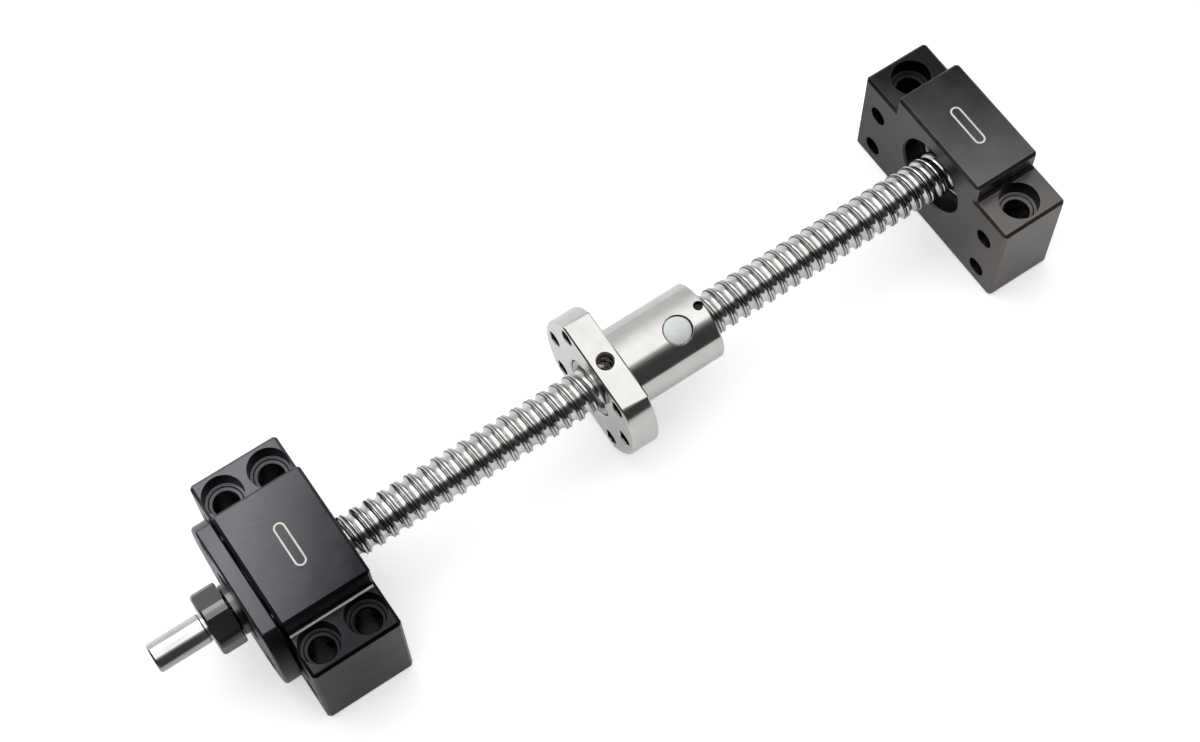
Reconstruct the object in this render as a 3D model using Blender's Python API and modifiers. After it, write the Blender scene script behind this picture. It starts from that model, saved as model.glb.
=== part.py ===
"""Ball screw assembly: a rolled screw, its flanged ball nut, a fixed support and a floating support.

Metres, +Z up. The screw's axis runs along X, with the drive end at -X. The origin is on the
mounting plane, under the screw's axis, halfway along the assembly. Along the screw, places are
x values. Around it, angles are measured from +Z towards -Y.
"""

import math

import bmesh
import bpy
from mathutils import Matrix, Vector

# Gaps
SEAT_GAP = 0.0003
GROOVE_CLEARANCE = 0.00015

# Cutters reach this far past what they cut, and joined bodies this far into each other
CUT_MARGIN = 0.002
JOIN_OVERLAP = 0.001
WELD_DISTANCE = 0.000001
AXIS_WELD_DISTANCE = 0.00001

# Layout
AXIS_HEIGHT = 0.022
SUPPORT_SPAN = 0.209
NUT_PLACE = 0.099

# Screw
SCREW_DIAMETER = 0.012
LEAD = 0.004
BALL_DIAMETER = 0.002381
BALL_CIRCLE_RISE = 0.00025
DRIVE_JOURNAL_DIAMETER = 0.008
DRIVE_JOURNAL_LENGTH = 0.015
LOCK_THREAD_DIAMETER = 0.010
LOCK_THREAD_LENGTH = 0.016
LOCK_THREAD_OVERHANG = 0.014
LOCK_THREAD_RELIEF_LENGTH = 0.0012
LOCK_THREAD_RELIEF_DEPTH = 0.0005
FIXED_JOURNAL_DIAMETER = 0.010
FLOATING_JOURNAL_DIAMETER = 0.008
FLOATING_JOURNAL_LENGTH = 0.010
JOURNAL_CHAMFER = 0.0005

# Support housings
FOOT_WIDTH = 0.060
SHOULDER_HEIGHT = 0.0325
BLOCK_WIDTH = 0.034
BLOCK_RISE = 0.017
HOUSING_CHAMFER = 0.0008
BOLT_SPACING = 0.046
BOLT_HOLE_DIAMETER = 0.0066
BOLT_COUNTERBORE_DIAMETER = 0.0108
BOLT_COUNTERBORE_DEPTH = 0.005
FACE_HOLE_DIAMETER = 0.0055
FACE_HOLE_SPACING = 0.0155

# Fixed support
FIXED_LENGTH = 0.025
FIXED_BOLT_ROWS = (0.006, 0.019)
FIXED_BEARING_OUTSIDE = 0.026
FIXED_BEARING_WIDTH = 0.008
FIXED_BALL_DIAMETER = 0.004762
FIXED_BALL_COUNT = 10
COLLAR_DIAMETER = 0.014
SEAL_SEAT_DIAMETER = 0.0196
SEAL_THROAT_DIAMETER = 0.0172
SEAL_WIDTH = 0.0034
LID_SEAL_INSET = 0.0004
LID_THICKNESS = 0.005
LID_DIAMETER = 0.045
LID_EDGE_DROP = 0.001
LID_CHAMFER = 0.0005
LID_SPIGOT_LENGTH = 0.0017
LID_SCREW_CIRCLE = 0.034
LID_SCREW_ANGLES = (45, 135, 225, 315)
LID_SCREW_DIAMETER = 0.003
LID_SCREW_HEAD_DIAMETER = 0.0055
LID_SCREW_HEAD_HEIGHT = 0.003
LID_SCREW_LENGTH = 0.009
LID_SCREW_SOCKET = 0.0025

# Lock nut
LOCK_NUT_WIDTH = 0.016
LOCK_NUT_THICKNESS = 0.0068
LOCK_NUT_TURN = math.radians(35)
LOCK_NUT_CHAMFER = 0.0006
LOCK_NUT_ROUND_MARGIN = 0.0001
LOCK_SCREW_DIAMETER = 0.003
LOCK_PAD_LENGTH = 0.0008

# Floating support
FLOATING_LENGTH = 0.020
FLOATING_SHOULDER_DEPTH = 0.006
FLOATING_BEARING_OUTSIDE = 0.022
FLOATING_BEARING_WIDTH = 0.007
FLOATING_BALL_DIAMETER = 0.003969
FLOATING_BALL_COUNT = 7
FLOATING_LIP_DIAMETER = 0.0186
SHIELD_SEAT_HEIGHT = 0.0008
BORE_MOUTH_CHAMFER = 0.0005
SHIELD_THICKNESS = 0.0004
SNAP_RING_THICKNESS = 0.0008
SNAP_GROOVE_DEPTH = 0.0005
SNAP_RING_DIAMETER = 0.0098
SNAP_RING_HALF_GAP = math.radians(22)
SNAP_LUG_RADIUS = 0.0011
SNAP_LUG_RISE = 0.0004

# Bearing proportions, as shares of a ball's radius
BEARING_LAND_SHARE = 0.75
CAGE_BAR_SHARE = 0.35

# Ball nut
NUT_LENGTH = 0.035
NUT_DIAMETER = 0.022
FLANGE_DIAMETER = 0.040
FLANGE_THICKNESS = 0.008
FLANGE_ACROSS_FLATS = 0.030
FLANGE_CHAMFER = 0.0004
FLANGE_HOLE_CIRCLE = 0.032
FLANGE_HOLE_DIAMETER = 0.0045
FLANGE_HOLE_STEP = math.radians(45)
NUT_TURN = math.radians(7.5)
OIL_HOLE_DIAMETER = 0.005
OIL_DRILL_DIAMETER = 0.002
OIL_HOLE_FLOOR = 0.0012
CIRCUITS = 3
CAP_DIAMETER = 0.0082
CAP_INSET = 0.0002
CAP_ANGLE = math.radians(17.7)
CAP_FROM_END = 0.0097
CROSSING_HALF_ANGLE = math.radians(32)
CROSSING_LIFT = 0.0013
WIPER_WALL = 0.0017
WIPER_WIDTH = 0.0022
WIPER_SCREW_DIAMETER = 0.002
WIPER_SCREW_LENGTH = 0.0018
WIPER_SCREW_ANGLE = math.radians(4)

# Facets
LID_SEGMENTS = 36
BORE_SEGMENTS = 28
ROUND_SEGMENTS = 22
RING_SEGMENTS = 20
CAP_SEGMENTS = 16
HOLE_SEGMENTS = 12
BLOCK_SEGMENTS = 8
HEXAGON_SIDES = 6
FLANGE_STEPS = 14
ROUND_OUTLINE_ANGLE = 50
GROOVE_STEPS = 10
GROOVE_SHARES = (-1, -0.5, 0, 0.5, 1)
RACEWAY_SHARES = (-1, -0.4, 0.4, 1)
LOOP_STEPS = 22
LOOP_SAMPLES = 360
BEAD_RESOLUTION = 1
BEAD_SHARES = (-0.8, 0, 0.8)

# Places along the screw
TOTAL_LENGTH = DRIVE_JOURNAL_LENGTH + LOCK_THREAD_OVERHANG + SUPPORT_SPAN + FLOATING_LENGTH
DRIVE_TIP = -TOTAL_LENGTH / 2
LOCK_THREAD_START = DRIVE_TIP + DRIVE_JOURNAL_LENGTH
FIXED_FRONT = LOCK_THREAD_START + LOCK_THREAD_OVERHANG
FIXED_BACK = FIXED_FRONT + FIXED_LENGTH
LID_FRONT = FIXED_FRONT - LID_THICKNESS
LID_BACK = FIXED_FRONT - SEAT_GAP
FLOATING_FRONT = FIXED_FRONT + SUPPORT_SPAN
FLOATING_BACK = FLOATING_FRONT + FLOATING_LENGTH
THREAD_START = FIXED_BACK
THREAD_END = FLOATING_FRONT + FLOATING_SHOULDER_DEPTH
SHAFT_END = THREAD_END + FLOATING_JOURNAL_LENGTH
SPIGOT_END = LID_BACK + LID_SPIGOT_LENGTH
OUTER_BEARING_START = SPIGOT_END + SEAT_GAP
INNER_BEARING_START = OUTER_BEARING_START + FIXED_BEARING_WIDTH + SEAT_GAP
FIXED_BEARINGS_END = INNER_BEARING_START + FIXED_BEARING_WIDTH
LOCK_NUT_END = LOCK_THREAD_START + LOCK_NUT_THICKNESS
FLOATING_BEARING_START = THREAD_END + SEAT_GAP
FLOATING_BEARING_END = FLOATING_BEARING_START + FLOATING_BEARING_WIDTH
NUT_FRONT = FIXED_FRONT + NUT_PLACE
NUT_END = NUT_FRONT + NUT_LENGTH
WIPER_RECESS_DEPTH = WIPER_WIDTH + 2 * SEAT_GAP
CAP_PLACE = NUT_END - CAP_FROM_END

# Radii around the screw's axis
SCREW_RADIUS = SCREW_DIAMETER / 2
BALL_CIRCLE_RADIUS = SCREW_RADIUS + BALL_CIRCLE_RISE
BALL_RADIUS = BALL_DIAMETER / 2
COLLAR_RADIUS = COLLAR_DIAMETER / 2
WIPER_RADIUS = SCREW_RADIUS + SEAT_GAP + WIPER_WALL

CIRCUIT_PITCH = LEAD * (1 + 1 / CIRCUITS)
CIRCUIT_TURN = math.tau / CIRCUITS

FINISHES = {
    "black housing": ((0.035, 0.036, 0.040), 0.42, 0.35),
    "black hardware": ((0.030, 0.030, 0.033), 0.50, 0.55),
    "rolled steel": ((0.62, 0.61, 0.59), 0.20, 1.0),
    "ground steel": ((0.66, 0.64, 0.61), 0.30, 1.0),
    "bearing steel": ((0.68, 0.68, 0.68), 0.18, 1.0),
    "spring steel": ((0.16, 0.16, 0.17), 0.35, 0.9),
    "brass": ((0.72, 0.50, 0.22), 0.35, 1.0),
    "white plastic": ((0.80, 0.82, 0.79), 0.40, 0.0),
    "black rubber": ((0.025, 0.025, 0.026), 0.75, 0.0),
}

ALONG_X = Matrix.Rotation(math.pi / 2, 4, "Y")


def clear_scene():
    for obj in list(bpy.data.objects):
        bpy.data.objects.remove(obj)


def new_collection(name, hidden=False):
    made = bpy.data.collections.new(name)
    made.hide_render = hidden
    bpy.context.scene.collection.children.link(made)
    return made


def new_empty(name, place):
    empty = bpy.data.objects.new(name, None)
    empty.location = place
    empty.empty_display_size = 0.01
    parts.objects.link(empty)
    return empty


def new_material(name, finish):
    colour, roughness, metallic = FINISHES[finish]
    made = bpy.data.materials.new(name)
    made.use_nodes = True
    shader = made.node_tree.nodes["Principled BSDF"]
    shader.inputs["Base Color"].default_value = (*colour, 1)
    shader.inputs["Roughness"].default_value = roughness
    shader.inputs["Metallic"].default_value = metallic
    return made


def add(name, data, parent, finish=None, matrix=None):
    """Adds a part with a finish, or a cutter without one, held by the parent empty."""
    obj = bpy.data.objects.new(name, data)
    obj.parent = parent
    if matrix is not None:
        obj.matrix_basis = matrix
    if finish is None:
        obj.hide_render = True
        obj.display_type = "WIRE"
        cutters.objects.link(obj)
    else:
        data.materials.append(new_material(name, finish))
        parts.objects.link(obj)
    return obj


def add_mesh(name, bm, parent, finish=None, matrix=None):
    mesh = bpy.data.meshes.new(name)
    bm.to_mesh(mesh)
    bm.free()
    return add(name, mesh, parent, finish, matrix)


def turned(name, outline, segments, parent, finish=None, matrix=ALONG_X):
    """A body turned about the axis. The outline is (x, radius) points, x rising on its outer side."""
    bm = bmesh.new()
    verts = [bm.verts.new((radius, 0, x)) for x, radius in reversed(outline)]
    for first, second in zip(verts, verts[1:]):
        bm.edges.new((first, second))
    if outline[0][1] > 0:
        bm.edges.new((verts[-1], verts[0]))
    obj = add_mesh(name, bm, parent, finish, matrix)
    screw = obj.modifiers.new("Turn", "SCREW")
    screw.steps = segments
    screw.render_steps = segments
    screw.use_smooth_shade = True
    screw.use_merge_vertices = True
    screw.merge_threshold = AXIS_WELD_DISTANCE
    return obj


def tube_outline(start, end, inner, outer):
    return [(start, outer), (end, outer), (end, inner), (start, inner)]


def extruded(name, outline, start, end, parent, finish=None):
    """A solid with a flat outline of (y, z) points, from one x to another."""
    bm = bmesh.new()
    face = bm.faces.new([bm.verts.new((start, y, z)) for y, z in outline])
    grown = bmesh.ops.extrude_face_region(bm, geom=[face])
    moved = [item for item in grown["geom"] if isinstance(item, bmesh.types.BMVert)]
    bmesh.ops.translate(bm, verts=moved, vec=(end - start, 0, 0))
    bmesh.ops.recalc_face_normals(bm, faces=bm.faces)
    return add_mesh(name, bm, parent, finish)


def rod(name, radius, start, end, segments, parent, finish=None, matrix=None):
    """A cylinder along the local Z axis, from one height to another."""
    bm = bmesh.new()
    middle = Matrix.Translation((0, 0, (start + end) / 2))
    size = {"radius1": radius, "radius2": radius, "depth": end - start}
    bmesh.ops.create_cone(bm, cap_ends=True, segments=segments, matrix=middle, **size)
    return add_mesh(name, bm, parent, finish, matrix)


def beaded(name, points, radii, closed, parent, finish=None):
    """A round string along the points, with its own radius at each of them."""
    curve = bpy.data.curves.new(name, "CURVE")
    curve.dimensions = "3D"
    curve.bevel_depth = 1
    curve.bevel_resolution = BEAD_RESOLUTION
    curve.use_fill_caps = not closed
    spline = curve.splines.new("POLY")
    spline.points.add(len(points) - 1)
    for point, place, radius in zip(spline.points, points, radii):
        point.co = (*place, 1)
        point.radius = radius
    spline.use_cyclic_u = closed
    return add(name, curve, parent, finish)


def as_mesh(obj, finish=None):
    """The same shape as a welded mesh, in place of a curve."""
    name = obj.name
    bpy.context.view_layer.update()
    evaluated = obj.evaluated_get(bpy.context.evaluated_depsgraph_get())
    mesh = bpy.data.meshes.new_from_object(evaluated)
    bm = bmesh.new()
    bm.from_mesh(mesh)
    bmesh.ops.remove_doubles(bm, verts=bm.verts, dist=WELD_DISTANCE)
    bm.to_mesh(mesh)
    bm.free()
    parent, matrix = obj.parent, obj.matrix_basis.copy()
    bpy.data.objects.remove(obj)
    mesh.materials.clear()
    return add(name, mesh, parent, finish, matrix)


def combine(obj, operation, *others):
    for other in others:
        boolean = obj.modifiers.new(f"{operation.title()} {other.name}", "BOOLEAN")
        boolean.operation = operation
        boolean.solver = "EXACT"
        boolean.object = other


def chamfer(obj, width, smallest_angle=30):
    bevel = obj.modifiers.new("Chamfer", "BEVEL")
    bevel.width = width
    bevel.segments = 1
    bevel.limit_method = "ANGLE"
    bevel.angle_limit = math.radians(smallest_angle)


def outwards(x, angle):
    """A frame on the axis at x, with its Z axis pointing straight out of the screw at the angle."""
    return Matrix.Translation((x, 0, 0)) @ Matrix.Rotation(angle, 4, "X")


def around(radius, angle):
    """The (y, z) place at a radius and an angle from +Z towards -Y."""
    return -radius * math.sin(angle), radius * math.cos(angle)


# Supports


def bolt_hole(name, x, y, parent):
    """The cutter of one vertical mounting hole, with its counterbore at the top."""
    seat = SHOULDER_HEIGHT - BOLT_COUNTERBORE_DEPTH
    foot, top = -CUT_MARGIN, SHOULDER_HEIGHT + CUT_MARGIN
    hole, wide = BOLT_HOLE_DIAMETER / 2, BOLT_COUNTERBORE_DIAMETER / 2
    outline = [(foot, 0), (foot, hole), (seat, hole), (seat, wide), (top, wide), (top, 0)]
    return turned(name, outline, HOLE_SEGMENTS, parent, matrix=Matrix.Translation((x, y, 0)))


def support_housing(name, front, length, bolt_rows, bore_outline):
    """A stepped block on a foot, with its bolt holes, face holes and bearing bore."""
    half_foot, half_block = FOOT_WIDTH / 2, BLOCK_WIDTH / 2
    top = AXIS_HEIGHT + BLOCK_RISE
    right = [(half_foot, 0), (half_foot, SHOULDER_HEIGHT), (half_block, SHOULDER_HEIGHT), (half_block, top)]
    left = [(-y, z) for y, z in reversed(right)]
    housing = extruded(name, right + left, front, front + length, base, "black housing")
    chamfer(housing, HOUSING_CHAMFER)
    combine(housing, "DIFFERENCE", turned(f"{name}_bore", bore_outline, BORE_SEGMENTS, screw_line))
    for side in (-1, 1):
        y = side * BOLT_SPACING / 2
        for row, offset in enumerate(bolt_rows):
            cutter = bolt_hole(f"{name}_bolt_hole_{side}_{row}", front + offset, y, base)
            combine(housing, "DIFFERENCE", cutter)
        for z in (AXIS_HEIGHT, AXIS_HEIGHT - FACE_HOLE_SPACING):
            place = Matrix.Translation((0, y, z)) @ ALONG_X
            ends = (front - CUT_MARGIN, front + length + CUT_MARGIN)
            label = f"{name}_face_hole_{side}_{z:.3f}"
            cutter = rod(label, FACE_HOLE_DIAMETER / 2, *ends, HOLE_SEGMENTS, base, matrix=place)
            combine(housing, "DIFFERENCE", cutter)
    return housing


def lid_screw_places():
    radius = LID_SCREW_CIRCLE / 2
    return [around(radius, math.radians(angle)) for angle in LID_SCREW_ANGLES]


def fixed_housing():
    seat = FIXED_BEARING_OUTSIDE / 2 + SEAT_GAP
    shoulder = FIXED_BEARINGS_END + SEAT_GAP
    seal_start = FIXED_BACK - SEAL_WIDTH - SEAT_GAP
    outline = [
        (FIXED_FRONT - CUT_MARGIN, 0),
        (FIXED_FRONT - CUT_MARGIN, seat),
        (shoulder, seat),
        (shoulder, SEAL_THROAT_DIAMETER / 2),
        (seal_start, SEAL_THROAT_DIAMETER / 2),
        (seal_start, SEAL_SEAT_DIAMETER / 2),
        (FIXED_BACK + CUT_MARGIN, SEAL_SEAT_DIAMETER / 2),
        (FIXED_BACK + CUT_MARGIN, 0),
    ]
    housing = support_housing("fixed_housing", FIXED_FRONT, FIXED_LENGTH, FIXED_BOLT_ROWS, outline)
    depth = LID_FRONT + SEAT_GAP + LID_SCREW_HEAD_HEIGHT + LID_SCREW_LENGTH + SEAT_GAP
    radius = LID_SCREW_DIAMETER / 2 + SEAT_GAP
    for number, (y, z) in enumerate(lid_screw_places(), 1):
        place = Matrix.Translation((0, y, z)) @ ALONG_X
        ends = (FIXED_FRONT - CUT_MARGIN, depth)
        cutter = rod(f"lid_thread_{number}", radius, *ends, HOLE_SEGMENTS, screw_line, matrix=place)
        combine(housing, "DIFFERENCE", cutter)


def fixed_lid():
    """A round cover with a flat at its top and its foot, over the front of the fixed housing."""
    radius = LID_DIAMETER / 2
    rise = BLOCK_RISE - LID_EDGE_DROP
    drop = AXIS_HEIGHT - LID_EDGE_DROP
    circle = [around(radius, math.tau * step / LID_SEGMENTS) for step in range(LID_SEGMENTS)]
    top_reach = math.sqrt(radius**2 - rise**2)
    foot_reach = math.sqrt(max(radius**2 - drop**2, 0))
    right = [(y, z) for y, z in reversed(circle) if y > 0 and -drop < z < rise]
    right.sort(key=lambda point: point[1])
    half = [(foot_reach, -drop)] * (foot_reach > 0) + right + [(top_reach, rise)]
    outline = half + [(-y, z) for y, z in reversed(half)]
    lid = extruded("fixed_lid", outline, LID_FRONT, LID_BACK, screw_line, "black housing")
    chamfer(lid, LID_CHAMFER, ROUND_OUTLINE_ANGLE)
    spigot_radius = FIXED_BEARING_OUTSIDE / 2 - SEAT_GAP / 2
    ends = (LID_BACK - JOIN_OVERLAP, SPIGOT_END)
    spigot = rod("lid_spigot", spigot_radius, *ends, BORE_SEGMENTS, screw_line, matrix=ALONG_X)
    combine(lid, "UNION", spigot)
    seal_end = LID_FRONT + LID_SEAL_INSET + SEAL_WIDTH + SEAT_GAP
    bore = [
        (LID_FRONT - CUT_MARGIN, 0),
        (LID_FRONT - CUT_MARGIN, SEAL_SEAT_DIAMETER / 2),
        (seal_end, SEAL_SEAT_DIAMETER / 2),
        (seal_end, SEAL_THROAT_DIAMETER / 2),
        (SPIGOT_END + CUT_MARGIN, SEAL_THROAT_DIAMETER / 2),
        (SPIGOT_END + CUT_MARGIN, 0),
    ]
    combine(lid, "DIFFERENCE", turned("lid_bore", bore, BORE_SEGMENTS, screw_line))
    head_seat = LID_FRONT + LID_SCREW_HEAD_HEIGHT + 2 * SEAT_GAP
    wide = LID_SCREW_HEAD_DIAMETER / 2 + SEAT_GAP
    hole = LID_SCREW_DIAMETER / 2 + SEAT_GAP
    outline = [
        (LID_FRONT - CUT_MARGIN, 0),
        (LID_FRONT - CUT_MARGIN, wide),
        (head_seat, wide),
        (head_seat, hole),
        (LID_BACK + CUT_MARGIN, hole),
        (LID_BACK + CUT_MARGIN, 0),
    ]
    for number, (y, z) in enumerate(lid_screw_places(), 1):
        place = Matrix.Translation((0, y, z)) @ ALONG_X
        cutter = turned(f"lid_hole_{number}", outline, HOLE_SEGMENTS, screw_line, matrix=place)
        combine(lid, "DIFFERENCE", cutter)


def lid_screws():
    """Socket head screws, sunk in the lid's counterbores."""
    top = LID_FRONT + SEAT_GAP
    under_head = top + LID_SCREW_HEAD_HEIGHT
    tip = under_head + LID_SCREW_LENGTH
    head, shank = LID_SCREW_HEAD_DIAMETER / 2, LID_SCREW_DIAMETER / 2
    outline = [(top, 0), (top, head), (under_head, head), (under_head, shank), (tip, shank), (tip, 0)]
    socket_radius = LID_SCREW_SOCKET / 2 / math.cos(math.pi / HEXAGON_SIDES)
    for number, (y, z) in enumerate(lid_screw_places(), 1):
        place = Matrix.Translation((0, y, z)) @ ALONG_X
        name = f"lid_screw_{number}"
        screw = turned(name, outline, HOLE_SEGMENTS, screw_line, "black hardware", place)
        ends = (top - CUT_MARGIN, top + LID_SCREW_HEAD_HEIGHT / 2)
        socket = rod(f"{name}_socket", socket_radius, *ends, HEXAGON_SIDES, screw_line, matrix=place)
        combine(screw, "DIFFERENCE", socket)


def seals():
    """Dust seals around the two collars, in the lid and in the back wall of the fixed housing."""
    inner, outer = COLLAR_RADIUS + SEAT_GAP, SEAL_SEAT_DIAMETER / 2 - SEAT_GAP
    starts = {"lid_seal": LID_FRONT + LID_SEAL_INSET, "housing_seal": FIXED_BACK - SEAL_WIDTH}
    for name, start in starts.items():
        outline = tube_outline(start, start + SEAL_WIDTH, inner, outer)
        turned(name, outline, RING_SEGMENTS, screw_line, "black rubber")


def floating_housing():
    seat = FLOATING_BEARING_OUTSIDE / 2 + SEAT_GAP
    lip_start = FLOATING_BEARING_END + SEAT_GAP
    outline = [
        (FLOATING_FRONT - CUT_MARGIN, 0),
        (FLOATING_FRONT - CUT_MARGIN, seat + BORE_MOUTH_CHAMFER + CUT_MARGIN),
        (FLOATING_FRONT + BORE_MOUTH_CHAMFER, seat),
        (lip_start, seat),
        (lip_start, FLOATING_LIP_DIAMETER / 2),
        (FLOATING_BACK + CUT_MARGIN, FLOATING_LIP_DIAMETER / 2),
        (FLOATING_BACK + CUT_MARGIN, 0),
    ]
    middle = (FLOATING_LENGTH / 2,)
    support_housing("floating_housing", FLOATING_FRONT, FLOATING_LENGTH, middle, outline)


# Bearings


def raceway(middle, circle, radius, land, side):
    """Points of a ball groove from one edge to the other. Side is 1 outside the balls, -1 inside."""
    reach = math.acos(abs(circle - land) / radius)
    angles = [reach * share for share in RACEWAY_SHARES]
    return [(middle - side * radius * math.sin(a), circle + side * radius * math.cos(a)) for a in angles]


def bearing(prefix, start, width, bore, outside, ball_diameter, ball_count, shielded=False):
    """Two races and a ball set in its cage. Both grooves keep clear of the balls."""
    end, middle = start + width, start + width / 2
    inner_radius, outer_radius = bore / 2 + SEAT_GAP, outside / 2
    circle = (bore + outside) / 4
    ball = ball_diameter / 2
    groove = ball + 2 * GROOVE_CLEARANCE
    rise = BEARING_LAND_SHARE * ball
    inner_land, outer_land = circle - rise, circle + rise
    inner_track = raceway(middle, circle, groove, inner_land, -1)
    inner = [(start, inner_land), *inner_track, (end, inner_land)]
    inner += [(end, inner_radius), (start, inner_radius)]
    turned(f"{prefix}_inner_race", inner, ROUND_SEGMENTS, screw_line, "bearing steel")
    outer_track = raceway(middle, circle, groove, outer_land, 1)
    outer = [(start, outer_radius), (end, outer_radius)]
    step = outer_land + (SHIELD_SEAT_HEIGHT if shielded else 0)
    depth = 2 * SEAT_GAP + SHIELD_THICKNESS if shielded else 0
    if shielded:
        outer += [(end, step), (end - depth, step), (end - depth, outer_land)]
        outer += [*outer_track, (start + depth, outer_land), (start + depth, step), (start, step)]
    else:
        outer += [(end, outer_land), *outer_track, (start, outer_land)]
    turned(f"{prefix}_outer_race", outer, ROUND_SEGMENTS, screw_line, "bearing steel")
    ball_cage(f"{prefix}_balls", middle, circle, ball, ball_count)
    if shielded:
        for side, near in (("front", start + SEAT_GAP), ("back", end - SEAT_GAP - SHIELD_THICKNESS)):
            outline = tube_outline(near, near + SHIELD_THICKNESS, inner_land + SEAT_GAP, step - SEAT_GAP)
            turned(f"{prefix}_{side}_shield", outline, ROUND_SEGMENTS, screw_line, "bearing steel")


def ball_cage(name, middle, circle, ball, count):
    """A ring of balls held by the bars of their cage."""
    bar = CAGE_BAR_SHARE * ball
    points, radii = [], []
    for number in range(count):
        for share in BEAD_SHARES:
            angle = math.tau * number / count + share * ball / circle
            points.append((middle, *around(circle, angle)))
            radii.append(max(ball * math.sqrt(1 - share**2), bar))
    beaded(name, points, radii, True, screw_line, "bearing steel")


def fixed_bearings():
    for letter, start in (("a", OUTER_BEARING_START), ("b", INNER_BEARING_START)):
        bearing(
            f"fixed_bearing_{letter}",
            start,
            FIXED_BEARING_WIDTH,
            FIXED_JOURNAL_DIAMETER,
            FIXED_BEARING_OUTSIDE,
            FIXED_BALL_DIAMETER,
            FIXED_BALL_COUNT,
        )


def floating_bearing():
    bearing(
        "floating_bearing",
        FLOATING_BEARING_START,
        FLOATING_BEARING_WIDTH,
        FLOATING_JOURNAL_DIAMETER,
        FLOATING_BEARING_OUTSIDE,
        FLOATING_BALL_DIAMETER,
        FLOATING_BALL_COUNT,
        shielded=True,
    )


# Screw and what turns with it


def groove_angle(x):
    """The angle at which the screw's ball groove passes x. It is tied to the last circuit's cap."""
    return CAP_ANGLE + math.pi + math.tau * (x - CAP_PLACE) / LEAD


def groove_point(x, radius, degrees):
    """A point of the groove's section, on a circle around the balls, at an angle from straight in."""
    angle = math.radians(degrees)
    return x + radius * math.sin(angle), 0, BALL_CIRCLE_RADIUS - radius * math.cos(angle)


def threaded_bar():
    """The bar's helical surface, spun from one lead of its profile and closed on the axis at both ends."""
    start = THREAD_START - 2 * LEAD
    turns = math.ceil((THREAD_END - start) / LEAD) + 2
    radius = BALL_RADIUS + GROOVE_CLEARANCE / math.cos(math.pi / GROOVE_STEPS)
    edge = math.degrees(math.acos((BALL_CIRCLE_RADIUS - SCREW_RADIUS) / radius))
    profile = [groove_point(start, radius, edge * share) for share in GROOVE_SHARES]
    profile.append((profile[0][0] + LEAD, 0, SCREW_RADIUS))
    bm = bmesh.new()
    verts = [bm.verts.new(point) for point in profile]
    edges = [bm.edges.new(pair) for pair in zip(verts, verts[1:])]
    turn_to_start = Matrix.Rotation(groove_angle(start), 4, "X")
    bmesh.ops.transform(bm, matrix=turn_to_start, verts=verts)
    bmesh.ops.spin(
        bm,
        geom=verts + edges,
        axis=(1, 0, 0),
        dvec=(LEAD / GROOVE_STEPS, 0, 0),
        angle=math.tau * turns,
        steps=turns * GROOVE_STEPS,
    )
    bmesh.ops.remove_doubles(bm, verts=bm.verts, dist=WELD_DISTANCE)
    middle = start + LEAD * turns / 2
    for place, side in ((start, -1), (start + LEAD * (turns + 1), 1)):
        rim = [e for e in bm.edges if e.is_boundary and (e.verts[0].co.x - middle) * side > 0]
        grown = bmesh.ops.extrude_edge_only(bm, edges=rim)
        tips = [item for item in grown["geom"] if isinstance(item, bmesh.types.BMVert)]
        bmesh.ops.pointmerge(bm, verts=tips, merge_co=(place, 0, 0))
    bmesh.ops.recalc_face_normals(bm, faces=bm.faces)
    if bm.calc_volume(signed=True) < 0:
        bmesh.ops.reverse_faces(bm, faces=bm.faces)
    bmesh.ops.triangulate(bm, faces=bm.faces)
    return add_mesh("screw_shaft", bm, screw_line, "rolled steel")


def screw_shaft():
    """The threaded bar, with the drive journal, lock thread and bearing journal on one end."""
    shaft = threaded_bar()
    ends = [(THREAD_START, 0), (THREAD_START, SCREW_DIAMETER), (THREAD_END, SCREW_DIAMETER), (THREAD_END, 0)]
    combine(shaft, "INTERSECT", turned("thread_ends", ends, BLOCK_SEGMENTS, screw_line))
    drive, lock = DRIVE_JOURNAL_DIAMETER / 2, LOCK_THREAD_DIAMETER / 2
    lock_end = LOCK_THREAD_START + LOCK_THREAD_LENGTH
    relief = lock - LOCK_THREAD_RELIEF_DEPTH
    relief_start = lock_end - LOCK_THREAD_RELIEF_LENGTH
    outline = [
        (DRIVE_TIP, 0),
        (DRIVE_TIP, drive - JOURNAL_CHAMFER),
        (DRIVE_TIP + JOURNAL_CHAMFER, drive),
        (LOCK_THREAD_START, drive),
        (LOCK_THREAD_START, lock - JOURNAL_CHAMFER),
        (LOCK_THREAD_START + JOURNAL_CHAMFER, lock),
        (relief_start, lock),
        (relief_start, relief),
        (lock_end, relief),
        (lock_end, FIXED_JOURNAL_DIAMETER / 2),
        (THREAD_START + JOIN_OVERLAP, FIXED_JOURNAL_DIAMETER / 2),
        (THREAD_START + JOIN_OVERLAP, 0),
    ]
    combine(shaft, "UNION", turned("drive_end", outline, ROUND_SEGMENTS, screw_line))
    journal = FLOATING_JOURNAL_DIAMETER / 2
    groove_start = FLOATING_BEARING_END + SEAT_GAP / 2
    groove_end = groove_start + SNAP_RING_THICKNESS + SEAT_GAP
    outline = [
        (THREAD_END - JOIN_OVERLAP, 0),
        (THREAD_END - JOIN_OVERLAP, journal),
        (groove_start, journal),
        (groove_start, journal - SNAP_GROOVE_DEPTH),
        (groove_end, journal - SNAP_GROOVE_DEPTH),
        (groove_end, journal),
        (SHAFT_END - JOURNAL_CHAMFER, journal),
        (SHAFT_END, journal - JOURNAL_CHAMFER),
        (SHAFT_END, 0),
    ]
    combine(shaft, "UNION", turned("floating_end", outline, ROUND_SEGMENTS, screw_line))


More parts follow.
